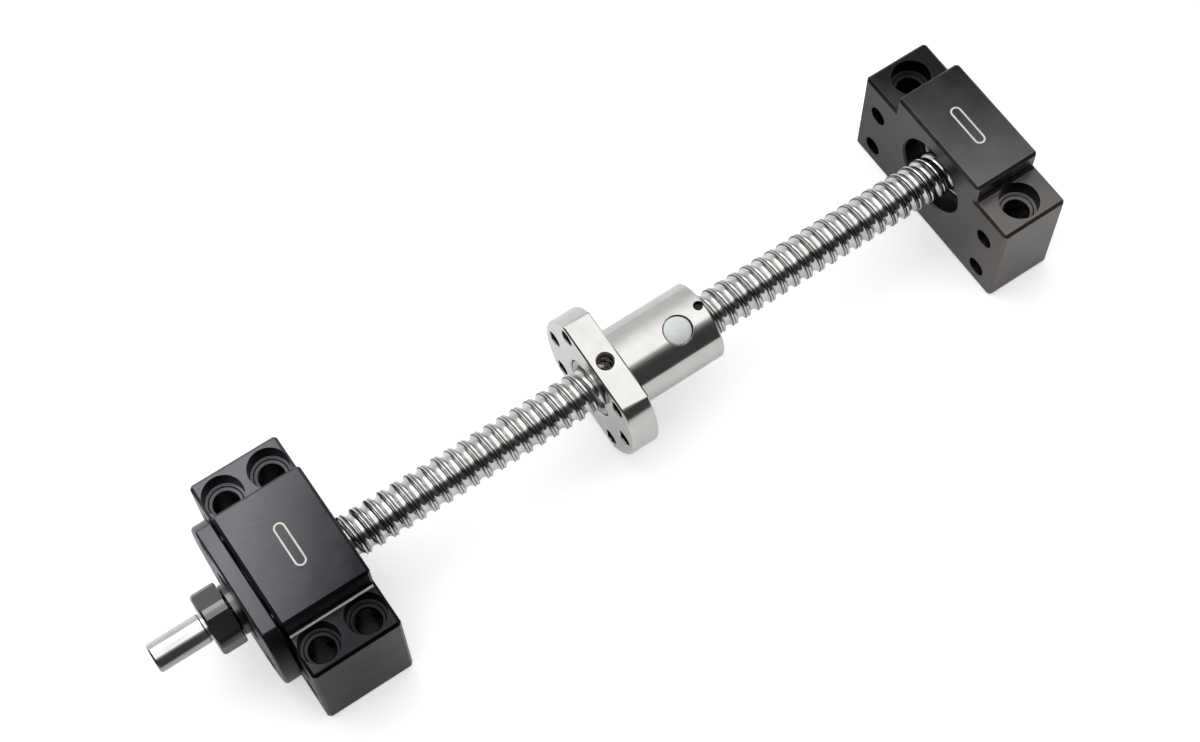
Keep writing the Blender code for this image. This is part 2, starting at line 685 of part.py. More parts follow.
def collars():
    """Spacers that clamp the bearing pair between the lock nut and the screw's shoulder."""
    inner = FIXED_JOURNAL_DIAMETER / 2 + SEAT_GAP
    outline = tube_outline(LOCK_NUT_END + SEAT_GAP, OUTER_BEARING_START - SEAT_GAP, inner, COLLAR_RADIUS)
    turned("outer_collar", outline, ROUND_SEGMENTS, screw_line, "black hardware")
    outline = tube_outline(FIXED_BEARINGS_END + SEAT_GAP, THREAD_START - SEAT_GAP, inner, COLLAR_RADIUS)
    turned("inner_collar", outline, ROUND_SEGMENTS, screw_line, "ground steel")


def lock_nut():
    """A hexagon nut with a radial set screw that presses a soft pad on the thread."""
    half_side = math.pi / HEXAGON_SIDES
    corner = LOCK_NUT_WIDTH / 2 / math.cos(half_side)
    angles = [LOCK_NUT_TURN + half_side * (1 + 2 * side) for side in range(HEXAGON_SIDES)]
    outline = [around(corner, angle) for angle in angles]
    nut = extruded("lock_nut", outline, LOCK_THREAD_START, LOCK_NUT_END, screw_line, "black hardware")
    rim, outside = corner - LOCK_NUT_CHAMFER, corner + 2 * LOCK_NUT_ROUND_MARGIN
    round_off = [
        (LOCK_THREAD_START - LOCK_NUT_ROUND_MARGIN, 0),
        (LOCK_THREAD_START - LOCK_NUT_ROUND_MARGIN, rim),
        (LOCK_THREAD_START + LOCK_NUT_CHAMFER, outside),
        (LOCK_NUT_END + CUT_MARGIN, outside),
        (LOCK_NUT_END + CUT_MARGIN, 0),
    ]
    combine(nut, "INTERSECT", turned("lock_nut_round", round_off, BORE_SEGMENTS, screw_line))
    bore = LOCK_THREAD_DIAMETER / 2 + SEAT_GAP
    ends = (LOCK_THREAD_START - CUT_MARGIN, LOCK_NUT_END + CUT_MARGIN)
    cutter = rod("lock_nut_bore", bore, *ends, ROUND_SEGMENTS, screw_line, matrix=ALONG_X)
    combine(nut, "DIFFERENCE", cutter)
    flat = LOCK_NUT_WIDTH / 2
    place = outwards((LOCK_THREAD_START + LOCK_NUT_END) / 2, LOCK_NUT_TURN + math.pi)
    radius = LOCK_SCREW_DIAMETER / 2
    ends = (CUT_MARGIN, flat + CUT_MARGIN)
    hole = rod("lock_nut_hole", radius + SEAT_GAP, *ends, HOLE_SEGMENTS, screw_line, matrix=place)
    combine(nut, "DIFFERENCE", hole)
    pad_end = bore + LOCK_PAD_LENGTH
    rod("lock_pad", radius - SEAT_GAP, bore, pad_end, HOLE_SEGMENTS, screw_line, "brass", place)
    start, end = pad_end + SEAT_GAP / 2, flat - SEAT_GAP
    screw = rod("lock_screw", radius, start, end, HOLE_SEGMENTS, screw_line, "black hardware", place)
    ends = ((start + end) / 2, end + CUT_MARGIN)
    socket = rod("lock_screw_socket", radius / 2, *ends, HEXAGON_SIDES, screw_line, matrix=place)
    combine(screw, "DIFFERENCE", socket)


def snap_ring():
    """An open ring in the groove behind the floating bearing, with two lugs for its pliers."""
    start = FLOATING_BEARING_END + SEAT_GAP
    end = start + SNAP_RING_THICKNESS
    inner = FLOATING_JOURNAL_DIAMETER / 2 - SNAP_GROOVE_DEPTH + SEAT_GAP / 2
    outer = SNAP_RING_DIAMETER / 2
    outline = tube_outline(start, end, inner, outer)
    ring = turned("snap_ring", outline, RING_SEGMENTS, screw_line, "spring steel")
    for side in (-1, 1):
        angle = side * (SNAP_RING_HALF_GAP + SNAP_LUG_RADIUS / outer)
        y, z = around(outer + SNAP_LUG_RISE, angle)
        place = Matrix.Translation((0, y, z)) @ ALONG_X
        lug = rod(f"snap_lug_{side}", SNAP_LUG_RADIUS, start, end, HOLE_SEGMENTS, screw_line, matrix=place)
        combine(ring, "UNION", lug)
    reach = 2 * outer
    wedge = [(0, 0), around(reach, SNAP_RING_HALF_GAP), around(reach, -SNAP_RING_HALF_GAP)]
    cutter = extruded("snap_ring_gap", wedge, start - CUT_MARGIN, end + CUT_MARGIN, screw_line)
    combine(ring, "DIFFERENCE", cutter)


# Ball nut


def loop_place(turn, middle, cap_angle):
    """A point of one closed ball circuit, at an angle past its cap.

    The balls follow the groove for a turn and cross back over the screw's land under the cap.
    """
    from_cap = (turn + math.pi) % math.tau - math.pi
    if abs(from_cap) < CROSSING_HALF_ANGLE:
        share = from_cap / CROSSING_HALF_ANGLE
        blend = (3 * share - share**3) / 2
        reach = LEAD / 2 - LEAD * CROSSING_HALF_ANGLE / math.tau
        x = middle - reach * blend
        radius = BALL_CIRCLE_RADIUS + CROSSING_LIFT * (1 - share**2) ** 2
    else:
        x = middle + LEAD * (turn % math.tau - math.pi) / math.tau
        radius = BALL_CIRCLE_RADIUS
    return (x, *around(radius, cap_angle + turn))


def circuit_places():
    """The middle and the cap angle of each ball circuit, from the flange to the far end."""
    behind = range(CIRCUITS - 1, -1, -1)
    return [(CAP_PLACE - CIRCUIT_PITCH * step, CAP_ANGLE - CIRCUIT_TURN * step) for step in behind]


def ball_loop_cutter(number, middle, cap_angle):
    points = [loop_place(math.tau * step / LOOP_STEPS, middle, cap_angle) for step in range(LOOP_STEPS)]
    radii = [(BALL_RADIUS + SEAT_GAP / 2) / math.cos(math.pi / 6)] * len(points)
    return as_mesh(beaded(f"ball_loop_{number}", points, radii, True, nut_line))


def ball_circuit(number, middle, cap_angle):
    """One circuit's balls, touching one another all the way round."""
    turns = [math.tau * step / LOOP_SAMPLES for step in range(LOOP_SAMPLES + 1)]
    path = [Vector(loop_place(turn, middle, cap_angle)) for turn in turns]
    lengths = [0.0]
    for first, second in zip(path, path[1:]):
        lengths.append(lengths[-1] + (second - first).length)
    count = int(lengths[-1] / BALL_DIAMETER)
    spacing = lengths[-1] / count
    points, radii = [], []
    for ball in range(count):
        for share in BEAD_SHARES:
            target = (ball + 0.5) * spacing + share * BALL_RADIUS
            after = next(index for index, length in enumerate(lengths) if length >= target)
            points.append(path[after])
            radii.append(BALL_RADIUS * math.sqrt(1 - share**2))
    beaded(f"ball_circuit_{number}", points, radii, True, nut_line, "bearing steel")


def flange_outline():
    """A round flange with two flats, turned with the nut about the screw."""
    radius, flat = FLANGE_DIAMETER / 2, FLANGE_ACROSS_FLATS / 2
    edge = math.acos(flat / radius)
    arc = [edge + (math.pi - 2 * edge) * step / FLANGE_STEPS for step in range(FLANGE_STEPS + 1)]
    angles = arc + [angle + math.pi for angle in arc]
    return [around(radius, NUT_TURN + angle) for angle in angles]


def nut_holes():
    """The cutters of the flange's bolt holes, the oil hole and the wiper screw's hole."""
    holes = []
    flange_end = NUT_FRONT + FLANGE_THICKNESS
    for side in (0, math.pi):
        for step in (-1, 0, 1):
            angle = NUT_TURN + math.pi / 2 + side + step * FLANGE_HOLE_STEP
            y, z = around(FLANGE_HOLE_CIRCLE / 2, angle)
            place = Matrix.Translation((0, y, z)) @ ALONG_X
            ends = (NUT_FRONT - CUT_MARGIN, flange_end + CUT_MARGIN)
            label = f"flange_hole_{len(holes) + 1}"
            holes.append(
                rod(label, FLANGE_HOLE_DIAMETER / 2, *ends, HOLE_SEGMENTS, nut_line, matrix=place)
            )
    place = outwards(NUT_FRONT + FLANGE_THICKNESS / 2, NUT_TURN)
    flat = FLANGE_ACROSS_FLATS / 2
    wide, narrow = OIL_HOLE_DIAMETER / 2, OIL_DRILL_DIAMETER / 2
    floor = WIPER_RADIUS + SEAT_GAP + OIL_HOLE_FLOOR
    outline = [(SCREW_RADIUS, 0), (SCREW_RADIUS, narrow), (floor, narrow)]
    outline += [(floor, wide), (flat + CUT_MARGIN, wide), (flat + CUT_MARGIN, 0)]
    holes.append(turned("oil_hole", outline, HOLE_SEGMENTS, nut_line, matrix=place))
    place = outwards(wiper_screw_x(), WIPER_SCREW_ANGLE)
    radius = WIPER_SCREW_DIAMETER / 2 + SEAT_GAP
    ends = (WIPER_RADIUS, NUT_DIAMETER / 2 + CUT_MARGIN)
    holes.append(rod("wiper_hole", radius, *ends, HOLE_SEGMENTS, nut_line, matrix=place))
    return holes


def wiper_screw_x():
    return NUT_END - SEAT_GAP - WIPER_WIDTH / 2 - SEAT_GAP


def nut_body():
    """The flange and the round body, bored for the screw and cut for the ball circuits."""
    flange_end = NUT_FRONT + FLANGE_THICKNESS
    nut = extruded("nut_body", flange_outline(), NUT_FRONT, flange_end, nut_line, "ground steel")
    chamfer(nut, FLANGE_CHAMFER, ROUND_OUTLINE_ANGLE)
    radius = NUT_DIAMETER / 2
    inside = flange_end - FLANGE_THICKNESS / 2
    outline = [(inside, 0), (inside, radius), (NUT_END - FLANGE_CHAMFER, radius)]
    outline += [(NUT_END, radius - FLANGE_CHAMFER), (NUT_END, 0)]
    combine(nut, "UNION", turned("nut_round", outline, BORE_SEGMENTS, nut_line))
    recess = WIPER_RADIUS + SEAT_GAP
    bore = SCREW_RADIUS + SEAT_GAP
    front, back = NUT_FRONT + WIPER_RECESS_DEPTH, NUT_END - WIPER_RECESS_DEPTH
    start, end = NUT_FRONT - CUT_MARGIN, NUT_END + CUT_MARGIN
    outline = [(start, 0), (start, recess), (front, recess), (front, bore)]
    outline += [(back, bore), (back, recess), (end, recess), (end, 0)]
    combine(nut, "DIFFERENCE", turned("nut_bore", outline, ROUND_SEGMENTS, nut_line))
    combine(nut, "DIFFERENCE", *nut_holes())
    inset = rod("cap_round", radius - CAP_INSET, NUT_FRONT, NUT_END, BORE_SEGMENTS, nut_line, matrix=ALONG_X)
    for number, (middle, cap_angle) in enumerate(circuit_places(), 1):
        loop = ball_loop_cutter(number, middle, cap_angle)
        place = outwards(middle, cap_angle)
        start, end = bore + SEAT_GAP / 2, radius + CUT_MARGIN
        wide = CAP_DIAMETER / 2 + SEAT_GAP
        ends = (SCREW_RADIUS, end)
        pocket = rod(f"cap_pocket_{number}", wide, *ends, CAP_SEGMENTS, nut_line, matrix=place)
        combine(nut, "DIFFERENCE", loop, pocket)
        name, ends = f"return_cap_{number}", (start, end)
        cap = rod(name, CAP_DIAMETER / 2, *ends, CAP_SEGMENTS, nut_line, "white plastic", place)
        combine(cap, "INTERSECT", inset)
        combine(cap, "DIFFERENCE", loop)
        ball_circuit(number, middle, cap_angle)


def wipers():
    """Plastic rings in both ends of the nut, and the screw that holds the one at its far end."""
    inner = SCREW_RADIUS + SEAT_GAP
    for side, start in (("flange", NUT_FRONT + SEAT_GAP), ("end", NUT_END - SEAT_GAP - WIPER_WIDTH)):
        outline = tube_outline(start, start + WIPER_WIDTH, inner, WIPER_RADIUS)
        turned(f"{side}_wiper", outline, RING_SEGMENTS, nut_line, "white plastic")
    place = outwards(wiper_screw_x(), WIPER_SCREW_ANGLE)
    start = WIPER_RADIUS + SEAT_GAP
    ends = (start, start + WIPER_SCREW_LENGTH)
    radius = WIPER_SCREW_DIAMETER / 2
    rod("wiper_screw", radius, *ends, HOLE_SEGMENTS, nut_line, "black hardware", place)


clear_scene()
parts = new_collection("ball_screw_assembly")
cutters = new_collection("cutters", hidden=True)
base = new_empty("base", (0, 0, 0))
screw_line = new_empty("screw_line", (0, 0, AXIS_HEIGHT))
nut_line = new_empty("nut_line", (0, 0, AXIS_HEIGHT))

fixed_housing()
fixed_lid()
lid_screws()
seals()
fixed_bearings()
floating_housing()
floating_bearing()
screw_shaft()
collars()
lock_nut()
snap_ring()
nut_body()
wipers()
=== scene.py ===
import math

import bmesh
import bpy
from mathutils import Matrix, Quaternion, Vector

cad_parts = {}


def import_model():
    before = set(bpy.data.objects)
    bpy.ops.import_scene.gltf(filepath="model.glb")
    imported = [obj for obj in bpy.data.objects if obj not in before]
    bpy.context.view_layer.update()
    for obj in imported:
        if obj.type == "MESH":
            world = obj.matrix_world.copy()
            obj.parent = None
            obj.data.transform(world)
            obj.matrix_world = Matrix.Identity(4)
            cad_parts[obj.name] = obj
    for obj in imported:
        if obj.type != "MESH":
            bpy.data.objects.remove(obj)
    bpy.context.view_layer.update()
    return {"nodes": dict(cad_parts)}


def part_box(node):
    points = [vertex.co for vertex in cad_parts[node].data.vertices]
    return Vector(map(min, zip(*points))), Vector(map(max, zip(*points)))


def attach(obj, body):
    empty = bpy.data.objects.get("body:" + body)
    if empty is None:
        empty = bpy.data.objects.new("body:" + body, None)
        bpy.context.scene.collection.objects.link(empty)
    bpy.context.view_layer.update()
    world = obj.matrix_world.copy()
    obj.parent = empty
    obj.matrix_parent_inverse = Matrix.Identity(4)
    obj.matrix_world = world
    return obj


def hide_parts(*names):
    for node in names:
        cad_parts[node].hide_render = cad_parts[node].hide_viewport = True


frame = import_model()

MM = 0.001
TAU = math.tau

# Places along the screw and around it, read from the frame
AXIS_HEIGHT = sum(corner.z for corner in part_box("fixed_bearing_a_outer_race")) / 2
FIXED_FRONT, FIXED_BACK = (corner.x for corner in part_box("fixed_housing"))
FLOATING_FRONT, FLOATING_BACK = (corner.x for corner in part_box("floating_housing"))
LID_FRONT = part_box("fixed_lid")[0].x
NUT_FRONT, NUT_END = (corner.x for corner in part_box("nut_body"))
DRIVE_TIP, SHAFT_END = (corner.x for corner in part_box("screw_shaft"))
LOCK_NUT_FRONT, LOCK_NUT_END = (corner.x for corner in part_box("lock_nut"))
CAP_PLACES = [sum(corner.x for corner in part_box(f"return_cap_{number}")) / 2 for number in (1, 2, 3)]
FIXED_MIDDLE = (FIXED_FRONT + FIXED_BACK) / 2
FLOATING_MIDDLE = (FLOATING_FRONT + FLOATING_BACK) / 2
THREAD_START = FIXED_BACK
THREAD_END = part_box("floating_bearing_inner_race")[0].x - 0.3 * MM

# Sizes
SCREW_RADIUS = 6 * MM
LEAD = 4 * MM
BALL_CIRCLE = 6.25 * MM
GROOVE_RADIUS = 1.27 * MM
GROOVE_OFFSET = 0.05 * MM
LAND_HOLLOW = 0.15 * MM
DRIVE_RADIUS = 4 * MM
JOURNAL_RADIUS = 4 * MM
JOURNAL_BORE = 5.3 * MM
HIDDEN_CORE = 3.5 * MM
LOCK_THREAD_RADIUS = 5 * MM
LOCK_THREAD_PITCH = 1 * MM
LOCK_THREAD_DEPTH = 0.55 * MM
SHOULDER_HEIGHT = 32.5 * MM
BLOCK_HALF = 17 * MM
CHAMFER = 0.8 * MM
BOLT_RADIUS = 3.3 * MM
COUNTERBORE_RADIUS = 5.4 * MM
COUNTERBORE_DEPTH = 5 * MM
FACE_HOLE_RADIUS = 2.75 * MM
THROAT_RADIUS = 8.6 * MM
SEAL_SEAT_RADIUS = 9.8 * MM
BOLT_PLACE = 23 * MM
FACE_HOLE_HEIGHTS = (AXIS_HEIGHT, AXIS_HEIGHT - 15.5 * MM)
LID_RADIUS = 22.5 * MM
LID_SCREW_CIRCLE = 17 * MM
NUT_TURN = math.radians(7.5)
NUT_RADIUS = 11 * MM
FLANGE_RADIUS = 20 * MM
FLANGE_HALF = 15 * MM
FLANGE_THICKNESS = 8 * MM
FLANGE_HOLE_CIRCLE = 16 * MM
FLANGE_HOLE_RADIUS = 2.25 * MM
CAP_RADIUS = 3.75 * MM
CAP_POCKET_RADIUS = 4.05 * MM
CAP_ANGLE = math.radians(17.7)
GROOVE_PLACE = CAP_PLACES[2] - LEAD * (CAP_ANGLE + math.pi) / TAU
LAND_EDGE = 0.185  # as a share of the lead, from the land's middle
LOCK_NUT_HALF = 8 * MM
LOCK_NUT_TURN = math.radians(35)

# How a shape is made
ON_AXIS = 1e-7  # a radius below this is a point on the axis
PAST = 2 * MM  # how far a cutting tool runs past the surface that it opens
COARSE, MEDIUM, FINE, FINEST = 56, 96, 112, 128  # sides of a round shape, by its size

# Camera
CAMERA_PLACE = Vector((-0.12896, -0.20796, 0.5465))
CAMERA_TARGET = Vector((0.00412, 0.00253, 0.022))
CAMERA_ROLL = math.radians(-2.066)
CAMERA_LENS = 67.76

ALONG_X = Matrix.Translation((0, 0, AXIS_HEIGHT)) @ Matrix.Rotation(math.pi / 2, 4, "Y")


# Mesh tools


def around(radius, angle):
    """The (y, z) place at a radius from the screw's axis and an angle from +Z towards -Y."""
    return -radius * math.sin(angle), AXIS_HEIGHT + radius * math.cos(angle)


def outwards(x, angle):
    """A frame on the screw's axis, with its Z axis pointing straight out at the angle."""
    return Matrix.Translation((x, 0, AXIS_HEIGHT)) @ Matrix.Rotation(angle, 4, "X")


def along_x(y, z):
    return Matrix.Translation((0, y, z)) @ Matrix.Rotation(math.pi / 2, 4, "Y")


def linked(name, bm):
    """An object in the scene, made from the edited mesh."""
    mesh = bpy.data.meshes.new(name)
    bm.to_mesh(mesh)
    bm.free()
    obj = bpy.data.objects.new(name, mesh)
    bpy.context.scene.collection.objects.link(obj)
    return obj


def eased(outline, radius, steps=3):
    """The closed outline with a small round at every corner that is off the axis."""
    points = []
    most = 0.4  # of an edge, so that two rounds never meet
    for index, corner in enumerate(outline):
        here = Vector(corner)
        before, after = Vector(outline[index - 1]), Vector(outline[(index + 1) % len(outline)])
        if here.y < ON_AXIS:
            points.append(tuple(here))
            continue
        start = here + (before - here) * min(radius / max((before - here).length, 1e-9), most)
        end = here + (after - here) * min(radius / max((after - here).length, 1e-9), most)
        for step in range(steps + 1):
            t = step / steps
            points.append(tuple(start * (1 - t) ** 2 + here * 2 * t * (1 - t) + end * t**2))
    return points


def revolve(name, outline, place=ALONG_X, segments=MEDIUM):
    """A closed body turned about the place's Z axis, from a closed outline of (height, radius) points."""
    bm = bmesh.new()
    rings = []
    for height, radius in outline:
        if radius < ON_AXIS:
            rings.append([bm.verts.new((0, 0, height))] * segments)
        else:
            turns = [TAU * step / segments for step in range(segments)]
            ring = [(radius * math.cos(turn), radius * math.sin(turn), height) for turn in turns]
            rings.append([bm.verts.new(point) for point in ring])
    for first, second in zip(rings, rings[1:] + rings[:1]):
        for step in range(segments):
            corners = [first[step], first[step - 1], second[step - 1], second[step]]
            unique = list(dict.fromkeys(corners))
            if len(unique) > 2:
                bm.faces.new(unique)
    bmesh.ops.transform(bm, matrix=place, verts=bm.verts)
    bmesh.ops.recalc_face_normals(bm, faces=bm.faces)
    return linked(name, bm)


def solid(outline):
    """The outline, closed straight onto the axis at both ends."""
    return [(outline[0][0], 0), *outline, (outline[-1][0], 0)]


def rod(name, radius, start, end, place=ALONG_X, segments=64):
    return revolve(name, solid([(start, radius), (end, radius)]), place, segments)


def extruded(name, corners, move, bevel=0.0):
    """A solid swept from a flat outline of (x, y, z) corners, with its sharp edges bevelled."""
    bm = bmesh.new()
    face = bm.faces.new([bm.verts.new(corner) for corner in corners])
    grown = bmesh.ops.extrude_face_region(bm, geom=[face])
    moved = [item for item in grown["geom"] if isinstance(item, bmesh.types.BMVert)]
    bmesh.ops.translate(bm, verts=moved, vec=move)
    bmesh.ops.recalc_face_normals(bm, faces=bm.faces)
    if bevel:
        sharp = [edge for edge in bm.edges if edge.calc_face_angle() > math.radians(40)]
        bmesh.ops.bevel(bm, geom=sharp, offset=bevel, segments=1, affect="EDGES", profile=0.5)
    return linked(name, bm)


def prism(name, outline, start, end, bevel=0.0):
    """A solid with a flat outline of (y, z) points, from one x to another."""
    return extruded(name, [(start, y, z) for y, z in outline], (end - start, 0, 0), bevel)


def upright(name, outline, x, start, end):
    """A solid with a flat outline of (x, y) points, from one height to another."""
    return extruded(name, [(x + dx, y, start) for dx, y in outline], (0, 0, end - start))


def shaped(obj, joined=(), kept=(), cut=(), edge=0.0, angle=34):
    """Applies the Booleans, a fine rounding of the sharp edges and even shading to the object's mesh."""
    tools = [("UNION", tool) for tool in joined]
    tools += [("INTERSECT", tool) for tool in kept]
    tools += [("DIFFERENCE", tool) for tool in cut]
    for operation, tool in tools:
        boolean = obj.modifiers.new(tool.name, "BOOLEAN")
        boolean.operation = operation
        boolean.solver = "EXACT"
        boolean.object = tool
    if edge:
        bevel = obj.modifiers.new("Edge", "BEVEL")
        bevel.width = edge
        bevel.segments = 2
        bevel.limit_method = "ANGLE"
        bevel.angle_limit = math.radians(angle)
        bevel.use_clamp_overlap = False
    applied(obj)
    for tool in [tool for _, tool in tools]:
        bpy.data.objects.remove(tool)
    return smooth(obj)


def applied(obj):
    """The object, with its modifiers made part of its mesh."""
    bpy.context.view_layer.update()
    evaluated = obj.evaluated_get(bpy.context.evaluated_depsgraph_get())
    mesh = bpy.data.meshes.new_from_object(evaluated)
    obj.modifiers.clear()
    obj.data = mesh
    return obj


def smooth(obj, sharpest=50):
    """Smooth shading that follows the larger faces and stays crisp at sharp edges."""
    obj.data.polygons.foreach_set("use_smooth", [True] * len(obj.data.polygons))
    obj.data.set_sharp_from_angle(angle=math.radians(sharpest))
    weighted = obj.modifiers.new("Shading", "WEIGHTED_NORMAL")
    weighted.keep_sharp = True
    weighted.weight = 90
    return applied(obj)


def piece(obj, body, slot, material, *nodes):
    """Makes the object a piece: the body it rides on, its finish and the CAD nodes it stands for."""
    obj.data.materials.clear()
    obj.data.materials.append(material)
    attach(obj, body)
    if nodes:
        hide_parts(*nodes)
    return obj


# Material tools


def new_material(name):
    made = bpy.data.materials.new(name)
    made.use_nodes = True
    return made, made.node_tree.nodes["Principled BSDF"]


def node(owner, kind, inputs=None, **settings):
    """Adds a shader node. Its inputs are values or the outputs of other nodes."""
    tree = owner.node_tree
    made = tree.nodes.new("ShaderNode" + kind)
    for key, value in settings.items():
        setattr(made, key, value)
    for key, value in (inputs or {}).items():
        if isinstance(value, bpy.types.NodeSocket):
            tree.links.new(value, made.inputs[key])
        else:
            made.inputs[key].default_value = value
    return made


def plug(owner, output, socket):
    owner.node_tree.links.new(output, socket)


def calc(owner, operation, *values):
    return node(owner, "Math", dict(enumerate(values)), operation=operation).outputs[0]


def remapped(owner, value, low, high, start=0.0, end=1.0):
    """The value's range from start to end, spread from low to high."""
    inputs = {"Value": value, "From Min": start, "From Max": end, "To Min": low, "To Max": high}
    return node(owner, "MapRange", inputs).outputs["Result"]


def noise(owner, place, scale, detail=3.0, roughness=0.55):
    inputs = {"Vector": place, "Scale": scale, "Detail": detail, "Roughness": roughness}
    return node(owner, "TexNoise", inputs).outputs["Fac"]


def object_place(owner):
    return node(owner, "TexCoord").outputs["Object"]


def stretched(owner, scale):
    return node(owner, "Mapping", {"Vector": object_place(owner), "Scale": scale}).outputs["Vector"]


def turned_place(owner, along, radial, angular):
    """Coordinates along the screw, out from its axis and around it, each at its own scale."""
    split = node(owner, "SeparateXYZ", {"Vector": object_place(owner)})
    z = calc(owner, "SUBTRACT", split.outputs["Z"], AXIS_HEIGHT)
    y = split.outputs["Y"]
    squares = calc(owner, "ADD", calc(owner, "MULTIPLY", y, y), calc(owner, "MULTIPLY", z, z))
    parts = {
        "X": calc(owner, "MULTIPLY", split.outputs["X"], along),
        "Y": calc(owner, "MULTIPLY", calc(owner, "SQRT", squares), radial),
        "Z": calc(owner, "MULTIPLY", calc(owner, "ARCTAN2", y, z), angular),
    }
    return node(owner, "CombineXYZ", parts).outputs["Vector"]


def worn_edges(owner, radius):
    """1 along the outer edges of the surface, fading to 0 away from them."""
    bevelled = node(owner, "Bevel", {"Radius": radius}, samples=4).outputs["Normal"]
    flat = node(owner, "NewGeometry").outputs["Normal"]
    dot = node(owner, "VectorMath", {0: bevelled, 1: flat}, operation="DOT_PRODUCT").outputs["Value"]
    most_worn, unworn = 0.90, 0.995
    return remapped(owner, dot, 1.0, 0.0, most_worn, unworn)


def blended(owner, factor, first, second):
    """A mix of two colours. Each of the three is a value or the output of another node."""
    mixed = node(owner, "Mix", data_type="RGBA")
    for place, value in (("Factor", factor), (6, first), (7, second)):
        socket = mixed.inputs[place]
        if isinstance(value, bpy.types.NodeSocket):
            plug(owner, value, socket)
        elif isinstance(value, tuple):
            socket.default_value = (*value, 1.0)
        else:
            socket.default_value = value
    return mixed.outputs[2]


def bumped(owner, shader, height, distance):
    bump = node(owner, "Bump", {"Height": height, "Distance": distance, "Strength": 1.0})
    plug(owner, bump.outputs["Normal"], shader.inputs["Normal"])


RUBBED_EDGE = (0.26, 0.26, 0.27)
# Warm brown for the palest tone of blackened steel: partly a random oil film, partly a warm tint on the
# painted sheen
WARM_FILM_AND_SHEEN = (0.150, 0.128, 0.105)
# Dark brown of the painted shade inside holes and corners
PAINTED_SHADE_BROWN = (0.030, 0.024, 0.020)
# Dark of the painted shade lines on the thread's land
THREAD_SHADE_LINE = (0.045, 0.042, 0.038)


def black_oxide(name, dark, pale, roughness, middle=0.0, painted_sheen_slope=(0.0, 0.0), warmth=0.0):
    """Blackened steel: fine mill grain, an uneven polish, a painted sheen, and edges rubbed a little
    lighter.

    The painted sheen grows from dark to pale along X, from the middle, and along Y. Where the tone is
    palest the colour turns a little brown where there is warmth, partly a random oil film and partly a
    warm tint on the painted sheen.
    """
    made, shader = new_material(name)
    shader.inputs["Metallic"].default_value = 1.0
    clouds = noise(made, object_place(made), 90, 4)
    grain = noise(made, stretched(made, (900, 4500, 4500)), 1, 2)
    speckle = noise(made, object_place(made), 2600, 2)
    split = node(made, "SeparateXYZ", {"Vector": object_place(made)})
    # Painted sheen: the colour grows paler along X from the middle and along Y, as a highlight would lie
    along = calc(made, "MULTIPLY", calc(made, "SUBTRACT", split.outputs["X"], middle), painted_sheen_slope[0])
    across = calc(made, "MULTIPLY", split.outputs["Y"], painted_sheen_slope[1])
    cloudy = remapped(made, clouds, 0.32, 0.68)
    tone_and_painted_sheen = calc(made, "ADD", cloudy, calc(made, "ADD", along, across))
    colour = blended(made, remapped(made, tone_and_painted_sheen, 0, 1, 0.2, 0.8), dark, pale)
    # Brown tint on the palest tone: partly a random oil film, partly a warm tint on the painted sheen
    if warmth:
        colour = blended(made, remapped(made, tone_and_painted_sheen, 0, warmth, 0.55, 0.90), colour, WARM_FILM_AND_SHEEN)
    uneven = remapped(made, clouds, 0.1, 0.5, 0.3, 0.7)
    rub = calc(made, "MULTIPLY", worn_edges(made, 0.2 * MM), uneven)
    colour = blended(made, rub, colour, RUBBED_EDGE)
    plug(made, colour, shader.inputs["Base Color"])
    matt = remapped(made, calc(made, "ADD", clouds, grain), *roughness, 0.7, 1.3)
    plug(made, matt, shader.inputs["Roughness"])
    bumped(made, shader, calc(made, "ADD", grain, speckle), 0.0014 * MM)
    return made


def painted_recess_shade(owner, colour, reach):
    """The colour, with painted shade: a dark brown inside holes, slots and corners, where little light
    reaches.
    """
    settings = {"samples": 6, "only_local": True}
    hidden = node(owner, "AmbientOcclusion", {"Distance": reach}, **settings).outputs["AO"]
    return blended(owner, remapped(owner, hidden, 1.0, 0.0, 0.05, 0.55), colour, PAINTED_SHADE_BROWN)


def painted_thread_shade_lines(owner, colour):
    """The colour, with painted shade lines: a dark line along the seam in the middle of the thread's land
    and dark lines at its edges.
    """
    split = node(owner, "SeparateXYZ", {"Vector": object_place(owner)})
    z = calc(owner, "SUBTRACT", split.outputs["Z"], AXIS_HEIGHT)
    towards = calc(owner, "ARCTAN2", calc(owner, "MULTIPLY", split.outputs["Y"], -1), z)
    turns = calc(owner, "DIVIDE", towards, TAU)
    from_groove = calc(owner, "SUBTRACT", split.outputs["X"], GROOVE_PLACE)
    leads = calc(owner, "DIVIDE", from_groove, LEAD)
    phase = calc(owner, "FRACT", calc(owner, "SUBTRACT", leads, turns))
    from_middle = calc(owner, "ABSOLUTE", calc(owner, "SUBTRACT", phase, 0.5))
    seam_shade = remapped(owner, from_middle, 0.92, 0.0, 0.020, 0.055)
    from_edge = calc(owner, "ABSOLUTE", calc(owner, "SUBTRACT", from_middle, LAND_EDGE))
    edge = remapped(owner, from_edge, 0.88, 0.0, 0.012, 0.042)
    return blended(owner, calc(owner, "MAXIMUM", seam_shade, edge), colour, THREAD_SHADE_LINE)


